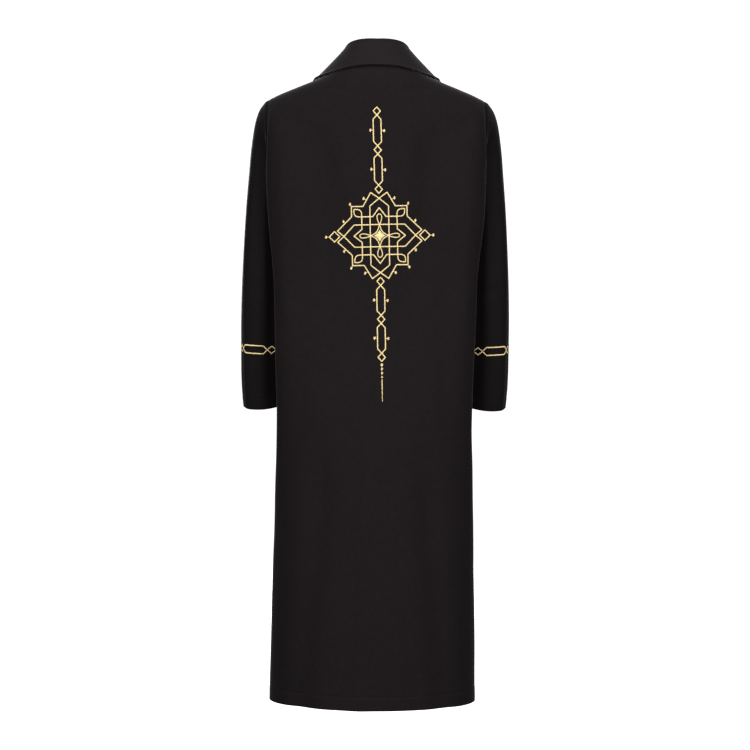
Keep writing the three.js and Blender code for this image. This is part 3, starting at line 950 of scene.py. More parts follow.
@dataclass(frozen=True)
class Crepe:
    """Black crepe: a fine pebbled matt weave with a soft sheen."""

    name: str
    # painted light and shade: below 1 darkens the cloth as painted shade, above 1 lightens it as
    # painted light
    painted_light_and_shade: float = 1.0
    sheen: float = 0.2
    dark: Triple = (0.0062, 0.0045, 0.0048)
    light: Triple = (0.0104, 0.0079, 0.0085)
    roughness: float = 0.74
    mottle: float = 0.007
    pebble: float = 0.0011
    thread: float = 0.00042
    relief: float = 0.00012
    shade_mix: Numbers = (0.45, 0.4, 0.25, 0.9)  # cloud, pebbles, weave and mottling
    relief_mix: Pair = (0.7, 0.3)  # pebbles and weave
    rough_mix: Pair = (0.16, 0.1)  # pebbles and cloud
    cloud_scale: float = 7.0
    bands_in_scale: float = 20.0  # the wave texture draws this many bands at scale 1
    specular: float = 0.07
    sheen_tint: Numbers = (1.0, 0.96, 0.95, 1.0)

    def with_painted_light_and_shade(self, colour: Triple) -> Numbers:
        """Returns a colour scaled by the finish's painted light and shade, with its alpha."""
        return (*(part * self.painted_light_and_shade for part in colour), 1.0)

    def material(self) -> Material:
        """Builds the material.

        Returns:
            The new material.
        """
        material, nodes = shader_tree(self.name)
        place = nodes.add("ShaderNodeTexCoord", {}, {}, "Object")
        grain = nodes.add("ShaderNodeTexCoord", {}, {}, "UV")
        cloud = nodes.noise(place, self.cloud_scale, 3.0)
        pebbles = nodes.noise(place, 1 / self.pebble, 2.0, 0.62)
        bands = 1 / self.thread / self.bands_in_scale
        weave = nodes.wave(grain, "X", bands) * nodes.wave(grain, "Y", bands)
        mottle = nodes.noise(place, 1 / self.mottle, 1.0)
        clouds, dots, threads, patches = self.shade_mix
        shade = cloud * clouds + pebbles * dots + weave * threads + (mottle - 0.5) * patches
        relief = pebbles * self.relief_mix[0] + weave * self.relief_mix[1]
        uneven = (pebbles - 0.5) * self.rough_mix[0]
        nodes.surface(
            {
                # the colours, and the specular below, carry the painted light and shade
                "Base Color": nodes.blend(shade, self.with_painted_light_and_shade(self.dark), self.with_painted_light_and_shade(self.light)),
                "Roughness": self.roughness + uneven + (cloud - 0.5) * self.rough_mix[1],
                "Normal": nodes.bump(relief, self.relief, 0.8),
                "Specular IOR Level": self.specular * self.painted_light_and_shade,
                "Sheen Weight": self.sheen,
                "Sheen Roughness": 0.27,
                "Sheen Tint": self.sheen_tint,
            }
        )
        return material


@dataclass(frozen=True)
class GoldThread:
    """Pale gold embroidery thread with a light sheen."""

    name: str
    shade: Triple = (0.76, 0.5, 0.19)
    shine: Triple = (1.0, 0.86, 0.46)
    scales: Pair = (900.0, 160.0)  # of its fine and its broad unevenness
    shade_mix: Pair = (0.7, 0.5)
    relief: float = 0.00008
    roughness: Pair = (0.3, 0.25)  # at its least, and how much it varies

    def material(self) -> Material:
        """Builds the material.

        Returns:
            The new material.
        """
        material, nodes = shader_tree(self.name)
        place = nodes.add("ShaderNodeTexCoord", {}, {}, "Object")
        fine, broad = (nodes.noise(place, scale, 2.0) for scale in self.scales)
        shade = fine * self.shade_mix[0] + broad * self.shade_mix[1]
        nodes.surface(
            {
                "Base Color": nodes.blend(shade, (*self.shade, 1.0), (*self.shine, 1.0)),
                "Metallic": 0.04,
                "Roughness": self.roughness[0] + fine * self.roughness[1],
                "Normal": nodes.bump(fine, self.relief, 0.7),
                "Sheen Weight": 0.15,
                "Sheen Roughness": 0.3,
            }
        )
        return material


@dataclass(frozen=True)
class Paper:
    """The plain pale floor and backdrop."""

    name: str = "backdrop"
    shade: float = 0.86
    glow: float = 0.95  # it is lit from behind, as a light table is

    def material(self) -> Material:
        """Builds the material.

        Returns:
            The new material.
        """
        material, nodes = shader_tree(self.name)
        nodes.surface(
            {
                "Base Color": (self.shade, self.shade, self.shade, 1.0),
                "Roughness": 0.9,
                "Emission Color": (1.0, 1.0, 1.0, 1.0),
                "Emission Strength": self.glow,
            }
        )
        return material


# ---- body


def finish_piece(obj: Object, node: str | None, finish: Material) -> None:
    """Dresses a piece and ties it to the frame.

    Args:
        obj: the piece.
        node: the frame's node that it stands for, if any.
        finish: its material.
    """
    obj.data.materials.clear()
    obj.data.materials.append(finish)
    if node:
        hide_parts(node)
    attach(obj, "root")
    LOG.info("%s: %d faces", obj.name, len(obj.data.polygons))


def dress_panels(panels: dict[str, Panel], finish: Material) -> dict[str, Object]:
    """Makes the meshes of cloth pieces and dresses them.

    Args:
        panels: the pieces by node.
        finish: the black cloth.

    Returns:
        The new objects by node.
    """
    made = {}
    for node, panel in panels.items():
        made[node] = panel.mesh(f"{node}_cloth")
        finish_piece(made[node], node, finish)
    return made


@dataclass
class CoatBody:
    """The back and the two lapped fronts of the coat's body."""

    form: BodyForm
    thickness: float = 1.1
    neck_steps: int = 14
    side_steps: int = 46
    wall_share: float = 0.3
    yoke_rows: int = 46
    skirt_rows: int = 112
    lap_reach: float = 25.0
    lap_ease: Pair = (70.0, 28.0)  # where the lap starts to lift, and where it is full
    lap_lift: float = 2.7
    fullness: float = 0.8
    yoke_spacing: float = 1.45
    skirt_spacing: float = 1.1
    wall_growth: float = 0.7
    seam_columns: Numbers = (0.0035, 0.0075, 0.012)  # shares, off the seam
    lap_columns: Numbers = (1, 0.96, 0.9, 0.75, 0.5, 0.25)  # shares of its reach
    hem_rows: Numbers = (0.8, 2.5)  # above the hem
    line_rows: Numbers = (-4.0, -2.0, 0.0, 1.0, 2.2, 4.0)  # off the hem's stitches
    back_fade: Pair = (-60.0, 80.0)  # where the unevenness starts, and its run
    front_fade: Pair = (-130.0, 90.0)
    front_shift: Pair = (37.0, -55.0)  # so that it differs from the back's
    fullness_fade: Pair = (-100.0, 80.0)
    seam_calm: float = 14.0
    ridge_fade: float = 10.0
    seam: Seam = Seam()
    hem: TurnedHem = TurnedHem()
    back_creases: tuple[Crease, ...] = (
        # drawn from the shoulder under the collar
        Crease((112, -50), (82, -41), (44, -58), 4.4, -2.6, 0.4, pair=True),
        Crease((88, -66), (64, -66), (40, -84), 9.0, 0.9, -0.3, pair=True),
        # hollows below the shoulder and beside the blades
        Crease((182, -106), (166, -112), (146, -128), 22.0, -4.0, pair=True),
        Crease((128, -104), (112, -176), (90, -262), 32.0, -5.0, pair=True),
        # lit ease before the sleeve
        Crease((200, -100), (192, -330), (188, -600), 28.0, 6.5, pair=True),
        Crease((176, -130), (180, -260), (169, -430), 11.0, 1.5, -0.2, pair=True),
        Crease((173, -424), (171, -457), (167, -496), 8.0, 1.5, pair=True),
        Crease((114, -424), (112, -436), (110, -450), 8.0, 0.9, pair=True),
        # at the waist, uneven
        Crease((85, -340), (91, -415), (88, -500), 7.5, -2.0, 0.3),
        Crease((-46, -400), (-53, -450), (-58, -520), 11.0, -1.5, -0.2),
        Crease((132, -500), (140, -600), (136, -700), 14.0, -1.2, 0.3),
        Crease((-128, -520), (-134, -620), (-126, -740), 15.0, -1.4, -0.3),
        # the press line down the middle
        Crease((3, -6), (5, -40), (2, -96), 5.0, 0.8, 0.4),
        Crease((2, -90), (6, -420), (9, -700), 7.0, 0.7, 0.4),
        Crease((8, -660), (17, -900), (24, -1204), 7.0, 1.3, 0.5),
    )
    front_creases: tuple[Crease, ...] = (
        Crease((60, -150), (84, -210), (120, -236), 12.0, -1.8, 0.3, pair=True),
        Crease((104, -120), (120, -170), (132, -238), 9.0, -1.5, -0.3, pair=True),
        Crease((88, -260), (70, -420), (58, -600), 13.0, -1.5, 0.3),
        Crease((-94, -250), (-80, -460), (-66, -640), 14.0, -1.7, -0.2),
        Crease((30, -420), (40, -700), (34, -1000), 12.0, 1.2, 0.3),
        Crease((-48, -500), (-40, -760), (-52, -1060), 13.0, 1.3, 0.2),
    )
    panels: dict[str, Panel] = field(default_factory=dict)

    def heights(self, top: Array, outward: Array) -> Array:
        """Spaces the rows of the columns, close together at the shoulder and the hem line.

        Args:
            top: the height at which each column starts.
            outward: 0 for the columns over the blade, up to 1 at the armhole.

        Returns:
            Heights, as rows by columns.
        """
        i = np.arange(self.yoke_rows)[:, None] / self.yoke_rows
        share = mix(i**self.yoke_spacing, (1 - np.cos(np.pi * i)) / 2, outward**2)
        yoke = mix(top, self.form.underarm_z, share)
        down = (np.arange(self.skirt_rows + 1) / self.skirt_rows) ** self.skirt_spacing
        skirt = mix(self.form.underarm_z, self.form.hem_z, down)
        line = (self.hem.depth + row for row in self.line_rows)
        near = self.form.hem_z + np.array([*self.hem_rows, *line])
        skirt = np.unique(np.concatenate([skirt, near]))[::-1]
        return np.concatenate([yoke, np.broadcast_to(skirt[:, None], (len(skirt), yoke.shape[1]))])

    def shares(self) -> Array:
        """Returns the shares of the side columns, with more of them close to the seam."""
        even = (np.arange(self.side_steps) + 1) / self.side_steps
        return np.unique(np.concatenate([even, 1 - np.array(self.seam_columns)]))

    def top_angles(self, full_x: float, last: float) -> tuple[Array, Array]:
        """Spreads the columns along the top edge.

        Args:
            full_x: how far to the side the edge is at a right angle.
            last: the angle of the last column.

        Returns:
            The angles of the neck's columns and of the side's columns.
        """
        i = np.arange(self.neck_steps + 1) / self.neck_steps
        neck = np.arcsin(self.form.neck_half * np.sin(math.pi / 2 * i) / full_x)
        return neck, mix(neck[-1], last, self.shares())

    def back_panel(self) -> Panel:
        """Makes the back.

        Returns:
            The panel, from the left side seam round to the right.
        """
        form = self.form
        neck, side_angles = self.top_angles(form.tip[0], math.pi / 2)
        shares = self.shares()
        halves = []
        for side in (1.0, -1.0):
            top = form.neckline(form.tip[0] * np.sin(neck), Face.BACK)
            z = self.heights(top, np.zeros(len(neck)))
            parts = [form.back(np.broadcast_to(neck, z.shape), z, side)]
            top = form.neckline(form.tip[0] * np.sin(side_angles), Face.BACK)
            z = self.heights(top, shares)
            end = form.wall_end(z)
            split = 1 - self.wall_share * end**self.wall_growth
            on_back = shares <= split
            flat = form.back(mix(neck[-1], math.pi / 2, np.minimum(1, shares / split)), z, side)
            beyond = clamp((shares - split) / np.maximum(1 - split, 1e-9)) * end
            parts.append(np.where(on_back[..., None], flat, form.wall(beyond, z, side)))
            halves.append(np.concatenate(parts, 1))
        panel = Panel(np.concatenate([halves[0][:, ::-1], halves[1][:, 1:]], 1), self.thickness)
        x, z = panel.grid[..., 0], panel.grid[..., 2]
        lift = HANG.height(x, z) * below(z, self.back_fade)
        off_ridge = panel.grid[..., 1] - form.body["ridge_y"](z)
        on_face = smooth(clamp(off_ridge / self.ridge_fade + 1))
        lift += on_face * sum(crease.height(x, z) for crease in self.back_creases)
        middle = len(neck) + len(shares) - 1
        sewn_top = np.abs(np.arange(panel.grid.shape[1]) - middle) >= self.neck_steps
        self.settle(panel, lift, (Edge.FIRST, Edge.LAST), sewn_top)
        return panel

    def front_panel(self, side: float) -> Panel:
        """Makes one front.

        Args:
            side: 1 for the wearer's left, under, and -1 for the right, on top.

        Returns:
            The panel, from its left edge to its right.
        """
        form = self.form
        full_x = float(form.body["side_x"](form.tip[1]))
        neck, side_angles = self.top_angles(full_x, float(form.front_end(np.array(form.tip[1]))))
        shares = self.shares()
        reach = self.lap_reach * np.array(self.lap_columns)
        z = self.heights(form.neckline(reach, Face.FRONT), np.zeros(len(reach)))
        parts = [form.front(-np.arcsin(reach / form.body["side_x"](z)), z, side)]
        z = self.heights(form.neckline(full_x * np.sin(neck), Face.FRONT), np.zeros(len(neck)))
        parts.append(form.front(np.broadcast_to(neck, z.shape), z, side))
        z = self.heights(form.neckline(full_x * np.sin(side_angles), Face.FRONT), shares)
        parts.append(form.front(mix(neck[-1], form.front_end(z), shares), z, side))
        grid = np.concatenate(parts, 1)
        from_lap = np.arange(grid.shape[1])
        if side < 0:
            grid, from_lap = grid[:, ::-1], from_lap[::-1]
        panel = Panel(grid, self.thickness)
        x, z = panel.grid[..., 0], panel.grid[..., 2]
        off_x, off_z = self.front_shift
        lift = HANG.height(x + off_x, z + off_z) * below(z, self.front_fade)
        lift += sum(crease.height(x, z) for crease in self.front_creases)
        if side < 0:
            near = clamp((self.lap_ease[0] + x) / (self.lap_ease[0] - self.lap_ease[1]))
            lift = lift + self.lap_lift * smooth(near)
        sewn_top = from_lap >= len(reach) + self.neck_steps
        self.settle(panel, lift, (Edge.LAST if side > 0 else Edge.FIRST,), sewn_top)
        return panel

    def settle(self, panel: Panel, lift: Array, sides: Iterable[Edge], sewn_top: Array) -> None:
        """Adds the folds, the seams' dips and the turned hem to a panel.

        Args:
            panel: the panel to change.
            lift: how far the folds move each point out.
            sides: the edges that are sewn from the shoulder to the hem.
            sewn_top: whether each column starts at the shoulder seam.
        """
        edges = [panel.edge_distance(edge) for edge in sides]
        top = np.where(sewn_top, panel.edge_distance(Edge.TOP), np.inf)
        nearest = np.minimum.reduce([*edges, top])
        lift = lift + self.fullness * below(panel.grid[..., 2], self.fullness_fade)
        lift = lift * smooth(clamp(nearest / self.seam_calm)) + self.seam.height(nearest)
        along = run_length(panel.grid, 1)
        lift = lift + self.hem.height(panel.edge_distance(Edge.BOTTOM), along)
        panel.lift(lift)

    def build(self) -> None:
        """Makes the three panels."""
        self.panels = {
            "back": self.back_panel(),
            "front_left": self.front_panel(1.0),
            "front_right": self.front_panel(-1.0),
        }

    def dress(self, finish: Material) -> dict[str, Object]:
        """Makes the panels' meshes in the black cloth and returns them by node."""
        return dress_panels(self.panels, finish)


# ---- sleeves


def signed(degrees: Array) -> Array:
    """Returns angles brought to between -180 and 180 degrees."""
    return (degrees + 180) % 360 - 180


@dataclass(frozen=True)
class SleeveFold:
    """A fold that runs down a sleeve, by turn in degrees and by ring of the table of sections."""

    turn: float
    foot_turn: float
    first_ring: float
    last_ring: float
    width: float
    depth: float
    taper: float = 0.8

    def height(self, ring: Array, degrees: Array) -> Array:
        """Measures the fold at points of the sleeve.

        Args:
            ring: how far down each point is.
            degrees: its turn round the sleeve.

        Returns:
            How far the fold moves the cloth out there.
        """
        along = clamp((ring - self.first_ring) / (self.last_ring - self.first_ring))
        away = signed(degrees) - mix(self.turn, self.foot_turn, along)
        return self.depth * np.sin(np.pi * along) ** self.taper * bell(away, self.width)


@dataclass
class Sleeves:
    """The two set-in sleeves, each one tube that is open at the cuff."""

    form: BodyForm
    thickness: float = 1.1
    around: int = 108
    rings: int = 150
    armhole_fade: float = 4.0
    fullness: float = 1.2
    seam: Seam = Seam(dip=1.0)
    hem: TurnedHem = TurnedHem(depth=20.0, band=0.35, groove=0.35, pitch=8.0)
    cap_ease: Triple = (7.0, 5.5, 1.1)  # from the seam, width, height
    cap_spread: Pair = (0.5, 1.2)  # it fades out round the lower part of the seam
    ring_spacing: float = 1.05
    top_rings: Numbers = (0.12, 0.25, 0.42)
    last_rings: Numbers = (0.03, 0.08)  # before the cuff's edge
    line_rings: Numbers = (-0.08, -0.03, 0.01, 0.05)  # off the hem's stitches
    ring_length: float = 44.0  # from the last ring but one to the last
    hang_scale: Pair = (0.7, 0.8)  # across, and in height
    fullness_fade: Pair = (-110.0, 60.0)
    seam_calm: float = 12.0
    cuff_run: float = 300.0  # round the cuff
    sections: Table = Table(
        "ring out_x out_z in_x in_z mid_y half dip",
        (
            (0, 209, -58.5, 163, -230, 0, 60, 0),
            (1, 221, -67, 167.5, -236, -4, 57, 0),
            (2, 231, -82, 170, -243, -7, 55, 0),
            (3, 238, -106, 171.5, -251, -9, 54, 0),
            (4, 242.5, -142, 172, -261, -10, 54, 0),
            (5, 247, -192, 171.5, -274, -11, 54.5, 0),
            (6, 251.5, -252, 171, -298, -12, 54.5, 0),
            (7, 255.5, -317, 170.5, -336, -13, 54, 0),
            (8, 258.5, -382, 170.5, -390, -15, 53, 1),
            (9, 260.5, -446, 171, -449, -19, 51.5, 3),
            (10, 261.5, -507, 171.5, -508, -24, 50, 4.5),
            (11, 261.5, -562, 172, -562, -30, 49, 5.5),
            (12, 260.5, -610, 172.5, -607, -36, 48, 7),
            (13, 257.5, -653, 173, -647, -41, 47, 11.5),
        ),
    )
    long_folds: tuple[SleeveFold, ...] = (
        SleeveFold(58, 74, 1.5, 9, 13, -3),
        SleeveFold(-52, -80, 1.5, 8.5, 14, -3.2),
        SleeveFold(38, 30, 8, 14.5, 12, -2),
    )
    degree: float = 0.88  # millimetres of cloth in a degree of turn
    creases: tuple[Crease, ...] = (
        # turn times degree across, height down; first the hollow beside the armhole
        Crease((56, -124), (78, -176), (92, -330), 15.0, -5.0),
        Crease((36, -99), (46, -108), (60, -123), 4.0, 1.3, 0.3),
        # the flat side towards the body
        Crease((104, -200), (106, -420), (106, -700), 32.0, -12.0),
        Crease((34, -150), (38, -420), (38, -720), 16.0, 5.5),
        # across the back of the elbow and the crook of the arm
        Crease((44, -376), (74, -388), (104, -378), 7.0, -0.9, 0.3),
        Crease((36, -418), (66, -430), (100, -424), 8.0, -1.0, -0.3),
        Crease((-60, -392), (-88, -408), (-122, -398), 7.0, -2.0, 0.4),
        Crease((-52, -424), (-82, -436), (-112, -430), 8.0, -1.8, -0.3),
        Crease((-66, -456), (-92, -468), (-118, -462), 8.0, -1.3, 0.3),
        Crease((-30, -110), (-44, -180), (-40, -260), 9.0, -1.6, 0.3),
    )
    panel: Panel | None = None

    def oval(self, ring: Array, turn: Array) -> Array:
        """Places points of a ring's own oval, before the armhole draws it to its shape.

        Args:
            ring: how far down they are.
            turn: the way round, 0 at the outside and on through the back.

        Returns:
            The points.
        """
        row = self.sections.at(ring)
        out = (1 + np.cos(turn)) / 2
        x = mix(row["in_x"], row["out_x"], out)
        y = row["mid_y"] + row["half"] * np.sin(turn)
        z = mix(row["in_z"], row["out_z"], out) - row["dip"] * np.sin(turn)
        return np.stack(np.broadcast_arrays(x, y, z), -1)

    def build(self) -> None:
        """Makes the left sleeve's panel."""
        turn = 2 * math.pi * np.arange(self.around) / self.around
        last = float(self.sections["half"].xs[-1])
        ring = last * (np.arange(self.rings + 1) / self.rings) ** self.ring_spacing
        line = last - self.hem.depth / self.ring_length
        near = [*self.top_rings, *(last - off for off in self.last_rings)]
        near += [line + off for off in self.line_rings]
        ring = np.unique(np.concatenate([ring, near]))[:, None]
        pull = self.form.armhole(turn) - self.oval(np.zeros(1), turn)
        fade = smooth(clamp(1 - ring / self.armhole_fade))[..., None]
        grid = self.oval(ring, turn) + pull * fade
        middle = grid.mean(1, keepdims=True)
        folds = sum(fold.height(ring, np.degrees(turn)) for fold in self.long_folds)
        self.panel = Panel(grid + unit(grid - middle) * folds[..., None], self.thickness, tube=True)
        self.settle(turn)

    def settle(self, turn: Array) -> None:
        """Adds the creases, the fullness, the seam's dip and the turned hem.

        Args:
            turn: the turn of each column round the sleeve.
        """
        grid = self.panel.grid
        x = np.broadcast_to(signed(np.degrees(turn)) * self.degree, grid.shape[:2])
        z = grid[..., 2]
        lift = HANG.height(x * self.hang_scale[0], z) * self.hang_scale[1]
        for shift in (-360 * self.degree, 0.0, 360 * self.degree):
            lift = lift + sum(crease.height(x + shift, z) for crease in self.creases)
        away = self.panel.edge_distance(Edge.TOP)
        lift = lift + self.fullness * below(z, self.fullness_fade)
        lift = lift * smooth(clamp(away / self.seam_calm))
        start, width, height = self.cap_ease
        upper = smooth(clamp((np.cos(turn) + self.cap_spread[0]) / self.cap_spread[1]))
        lift = lift + height * upper * bell(away - start, width) + self.seam.height(away)
        along = np.arange(self.around) / self.around * self.cuff_run
        lift = lift + self.hem.height(self.panel.edge_distance(Edge.BOTTOM), along)
        self.panel.lift(lift)

    def sides(self) -> dict[str, Panel]:
        """Returns both sleeves' panels by node, of which the right one is mirrored."""
        mirrored = Panel(self.panel.grid[:, ::-1] * MIRROR, self.thickness, tube=True)
        return {"sleeve_left": self.panel, "sleeve_right": mirrored}

    def dress(self, finish: Material) -> dict[str, Object]:
        """Makes both sleeves' meshes in the black cloth and returns them by node."""
        return dress_panels(self.sides(), finish)


# ---- collar


@dataclass
class Collar:
    """The wide turned-down collar: a stand, a roll and a fall that lies on the body."""

    form: BodyForm
    thickness: float = 2.4
    stations: int = 84
    end: float = 177.0
    roll: float = 4.2
    lean: float = 0.28
    foot: Pair = (3.6, 1.2)  # its inset from the neckline, and its lift
    stand_rows: int = 10
    roll_rows: int = 12
    fall_rows: int = 34
    clearance: float = 3.8
    stitch_line: float = 6.0
    stitch_depth: float = 0.35
    stitch_width: float = 1.3
    settling: int = 4  # times that a point is moved clear of its bed
    passes: int = 14
    stiff_rows: float = 5.0  # of the fall, next to the roll
    bed_x: float = -5.0  # the bed is gathered from here out to the side
    bed_z: float = -190.0  # and from here up
    turns: int = 6
    shape: Table = Table(
        "turn stand edge_x edge_z off",
        (
            (0, 37, 0, -2, 4.5),
            (20, 37.5, 30, -3, 4.5),
            (38, 38, 58, -7, 4.5),
            (55, 38.5, 81, -13, 4.5),
            (72, 37, 101, -17, 4.5),
            (90, 34, 117, -19.5, 4.5),
            (108, 28, 122, -37, 4.5),
            (126, 21, 120, -66, 4.5),
            (144, 14, 112, -98, 4.5),
            (162, 10, 94, -126, 4.5),
            (180, 8, 72, -146, 4.5),
        ),
    )
    panel: Panel | None = None

    def bed(self, panels: Iterable[Panel]) -> tuple[KDTree, Array, Array]:
        """Gathers the cloth that the collar lies on, and the same mirrored.

        Args:
            panels: the body's panels.

        Returns:
            A tree of the points, the points and their outward normals.
        """
        points, normals = [], []
        for panel in panels:
            for flip in (1.0, -1.0):
                sign = np.array([flip, 1.0, 1.0])
                points.append((panel.grid * sign).reshape(-1, 3))
                normals.append((grid_normals(panel.grid) * sign).reshape(-1, 3))
        x = np.arange(self.form.neck_half, self.form.tip[0], 2.0)
        rise = (self.form.shoulder(x + 1) - self.form.shoulder(x))[:, None]
        points.append(np.stack([x, 0 * x, self.form.shoulder(x)], -1))
        normals.append(unit(np.concatenate([-rise, 0 * rise, np.ones_like(rise)], 1)))
        spots, ways = np.concatenate(points), np.concatenate(normals)
        keep = (spots[:, 0] > self.bed_x) & (spots[:, 2] > self.bed_z)
        spots, ways = spots[keep], ways[keep]
        tree = KDTree(len(spots))
        for i, spot in enumerate(spots):
            tree.insert(spot, i)
        tree.balance()
        return tree, spots, ways

    def section(self, turn: float, bed: tuple[KDTree, Array, Array]) -> Array:
        """Lays one section of the left half, from the foot of the stand to the edge.

        Args:
            turn: the angle from centre back, in radians.
            bed: the cloth below, as bed() gives it.

        Returns:
            The section's points.
        """
        tree, spots, ways = bed
        face = Face.FRONT if turn > math.pi / 2 else Face.BACK
        shape = {name: float(value) for name, value in self.shape.at(math.degrees(turn)).items()}
        outward = np.array([math.sin(turn), math.cos(turn), 0.0])
        x = np.array(self.form.neck_half * math.sin(turn))
        foot = self.form.at(x, self.form.neckline(x, face), face) - outward * self.foot[0]
        foot[2] += self.foot[1]
        middle = foot + outward * (self.roll - self.lean * shape["stand"])
        middle[2] = foot[2] + shape["stand"] - self.roll
        start = middle - outward * self.roll
        up = np.array([0.0, 0.0, 1.0])
        points = [mix(foot, start, i / self.stand_rows) for i in range(self.stand_rows)]
        for i in range(self.roll_rows + 1):
            angle = math.pi * i / self.roll_rows
            points.append(middle + self.roll * (up * math.sin(angle) - outward * math.cos(angle)))
        edge = self.form.at(np.array(shape["edge_x"]), np.array(shape["edge_z"]), face)
        edge = edge + outward * shape["off"]
        top = points[-1]
        for i in range(1, self.fall_rows + 1):
            point = mix(top, edge, i / self.fall_rows)
            under = self.form.at(point[0], point[2], face)
            if abs(under[1]) > abs(point[1]):
                point[1] = under[1]
            for _ in range(self.settling):
                _, near, _ = tree.find(point)
                short = self.clearance - float((point - spots[near]) @ ways[near])
                if short > 0:
                    point = point + ways[near] * short
            points.append(point)
        return np.array(points)

    def build(self, body: CoatBody) -> None:
        """Lays the collar on the body.

        Args:
            body: the coat's body, built.
        """
        bed = self.bed(body.panels.values())
        turns = math.radians(self.end) * np.arange(self.stations + 1) / self.stations
        left = np.stack([self.section(turn, bed) for turn in turns], 1)
        left[:, 0, 0] = 0.0
        grid = self.relax(np.concatenate([left[:, ::-1], left[:, 1:] * MIRROR], 1))
        middle = grid + grid_normals(grid) * self.thickness / 2
        self.panel = Panel(middle, self.thickness, turns=self.turns)
        sewn = (Edge.BOTTOM, Edge.FIRST, Edge.LAST)
        away = np.minimum.reduce([self.panel.edge_distance(edge) for edge in sewn])
        self.panel.lift(-self.stitch_depth * bell(away - self.stitch_line, self.stitch_width))

    def relax(self, grid: Array) -> Array:
        """Evens out the fall, which the lumps of its bed would otherwise show through.

        Args:
            grid: the collar's points, from the foot of the stand to the edge.

        Returns:
            The evened points. The stand, the roll and the outer edge stay where they are.
        """
        rows = np.arange(len(grid))
        soft = clamp((rows - self.stand_rows - self.roll_rows) / self.stiff_rows)
        soft = np.where(rows == len(grid) - 1, 0.0, soft)[:, None, None]
        for _ in range(self.passes):
            near = grid.copy()
            near[1:-1] = (grid[2:] + grid[:-2]) / 2
            near[:, 1:-1] = (near[:, 1:-1] * 2 + grid[:, 2:] + grid[:, :-2]) / 4
            grid = mix(grid, near, 0.5 * soft)
        return grid

    def dress(self, finish: Material) -> Object:
        """Makes the collar's mesh in the black cloth."""
        return dress_panels({"collar": self.panel}, finish)["collar"]


# ---- embroidery


@dataclass(frozen=True)
class Stroke:
    """A run of satin stitches: its middle line on the flat pattern, and its width along it."""

    line: Array
    width: Array


def straight(corners: Sequence[Pair], width: float) -> Stroke:
    """Returns a stroke of even width through corners."""
    return Stroke(np.array(corners, float), np.full(len(corners), width))


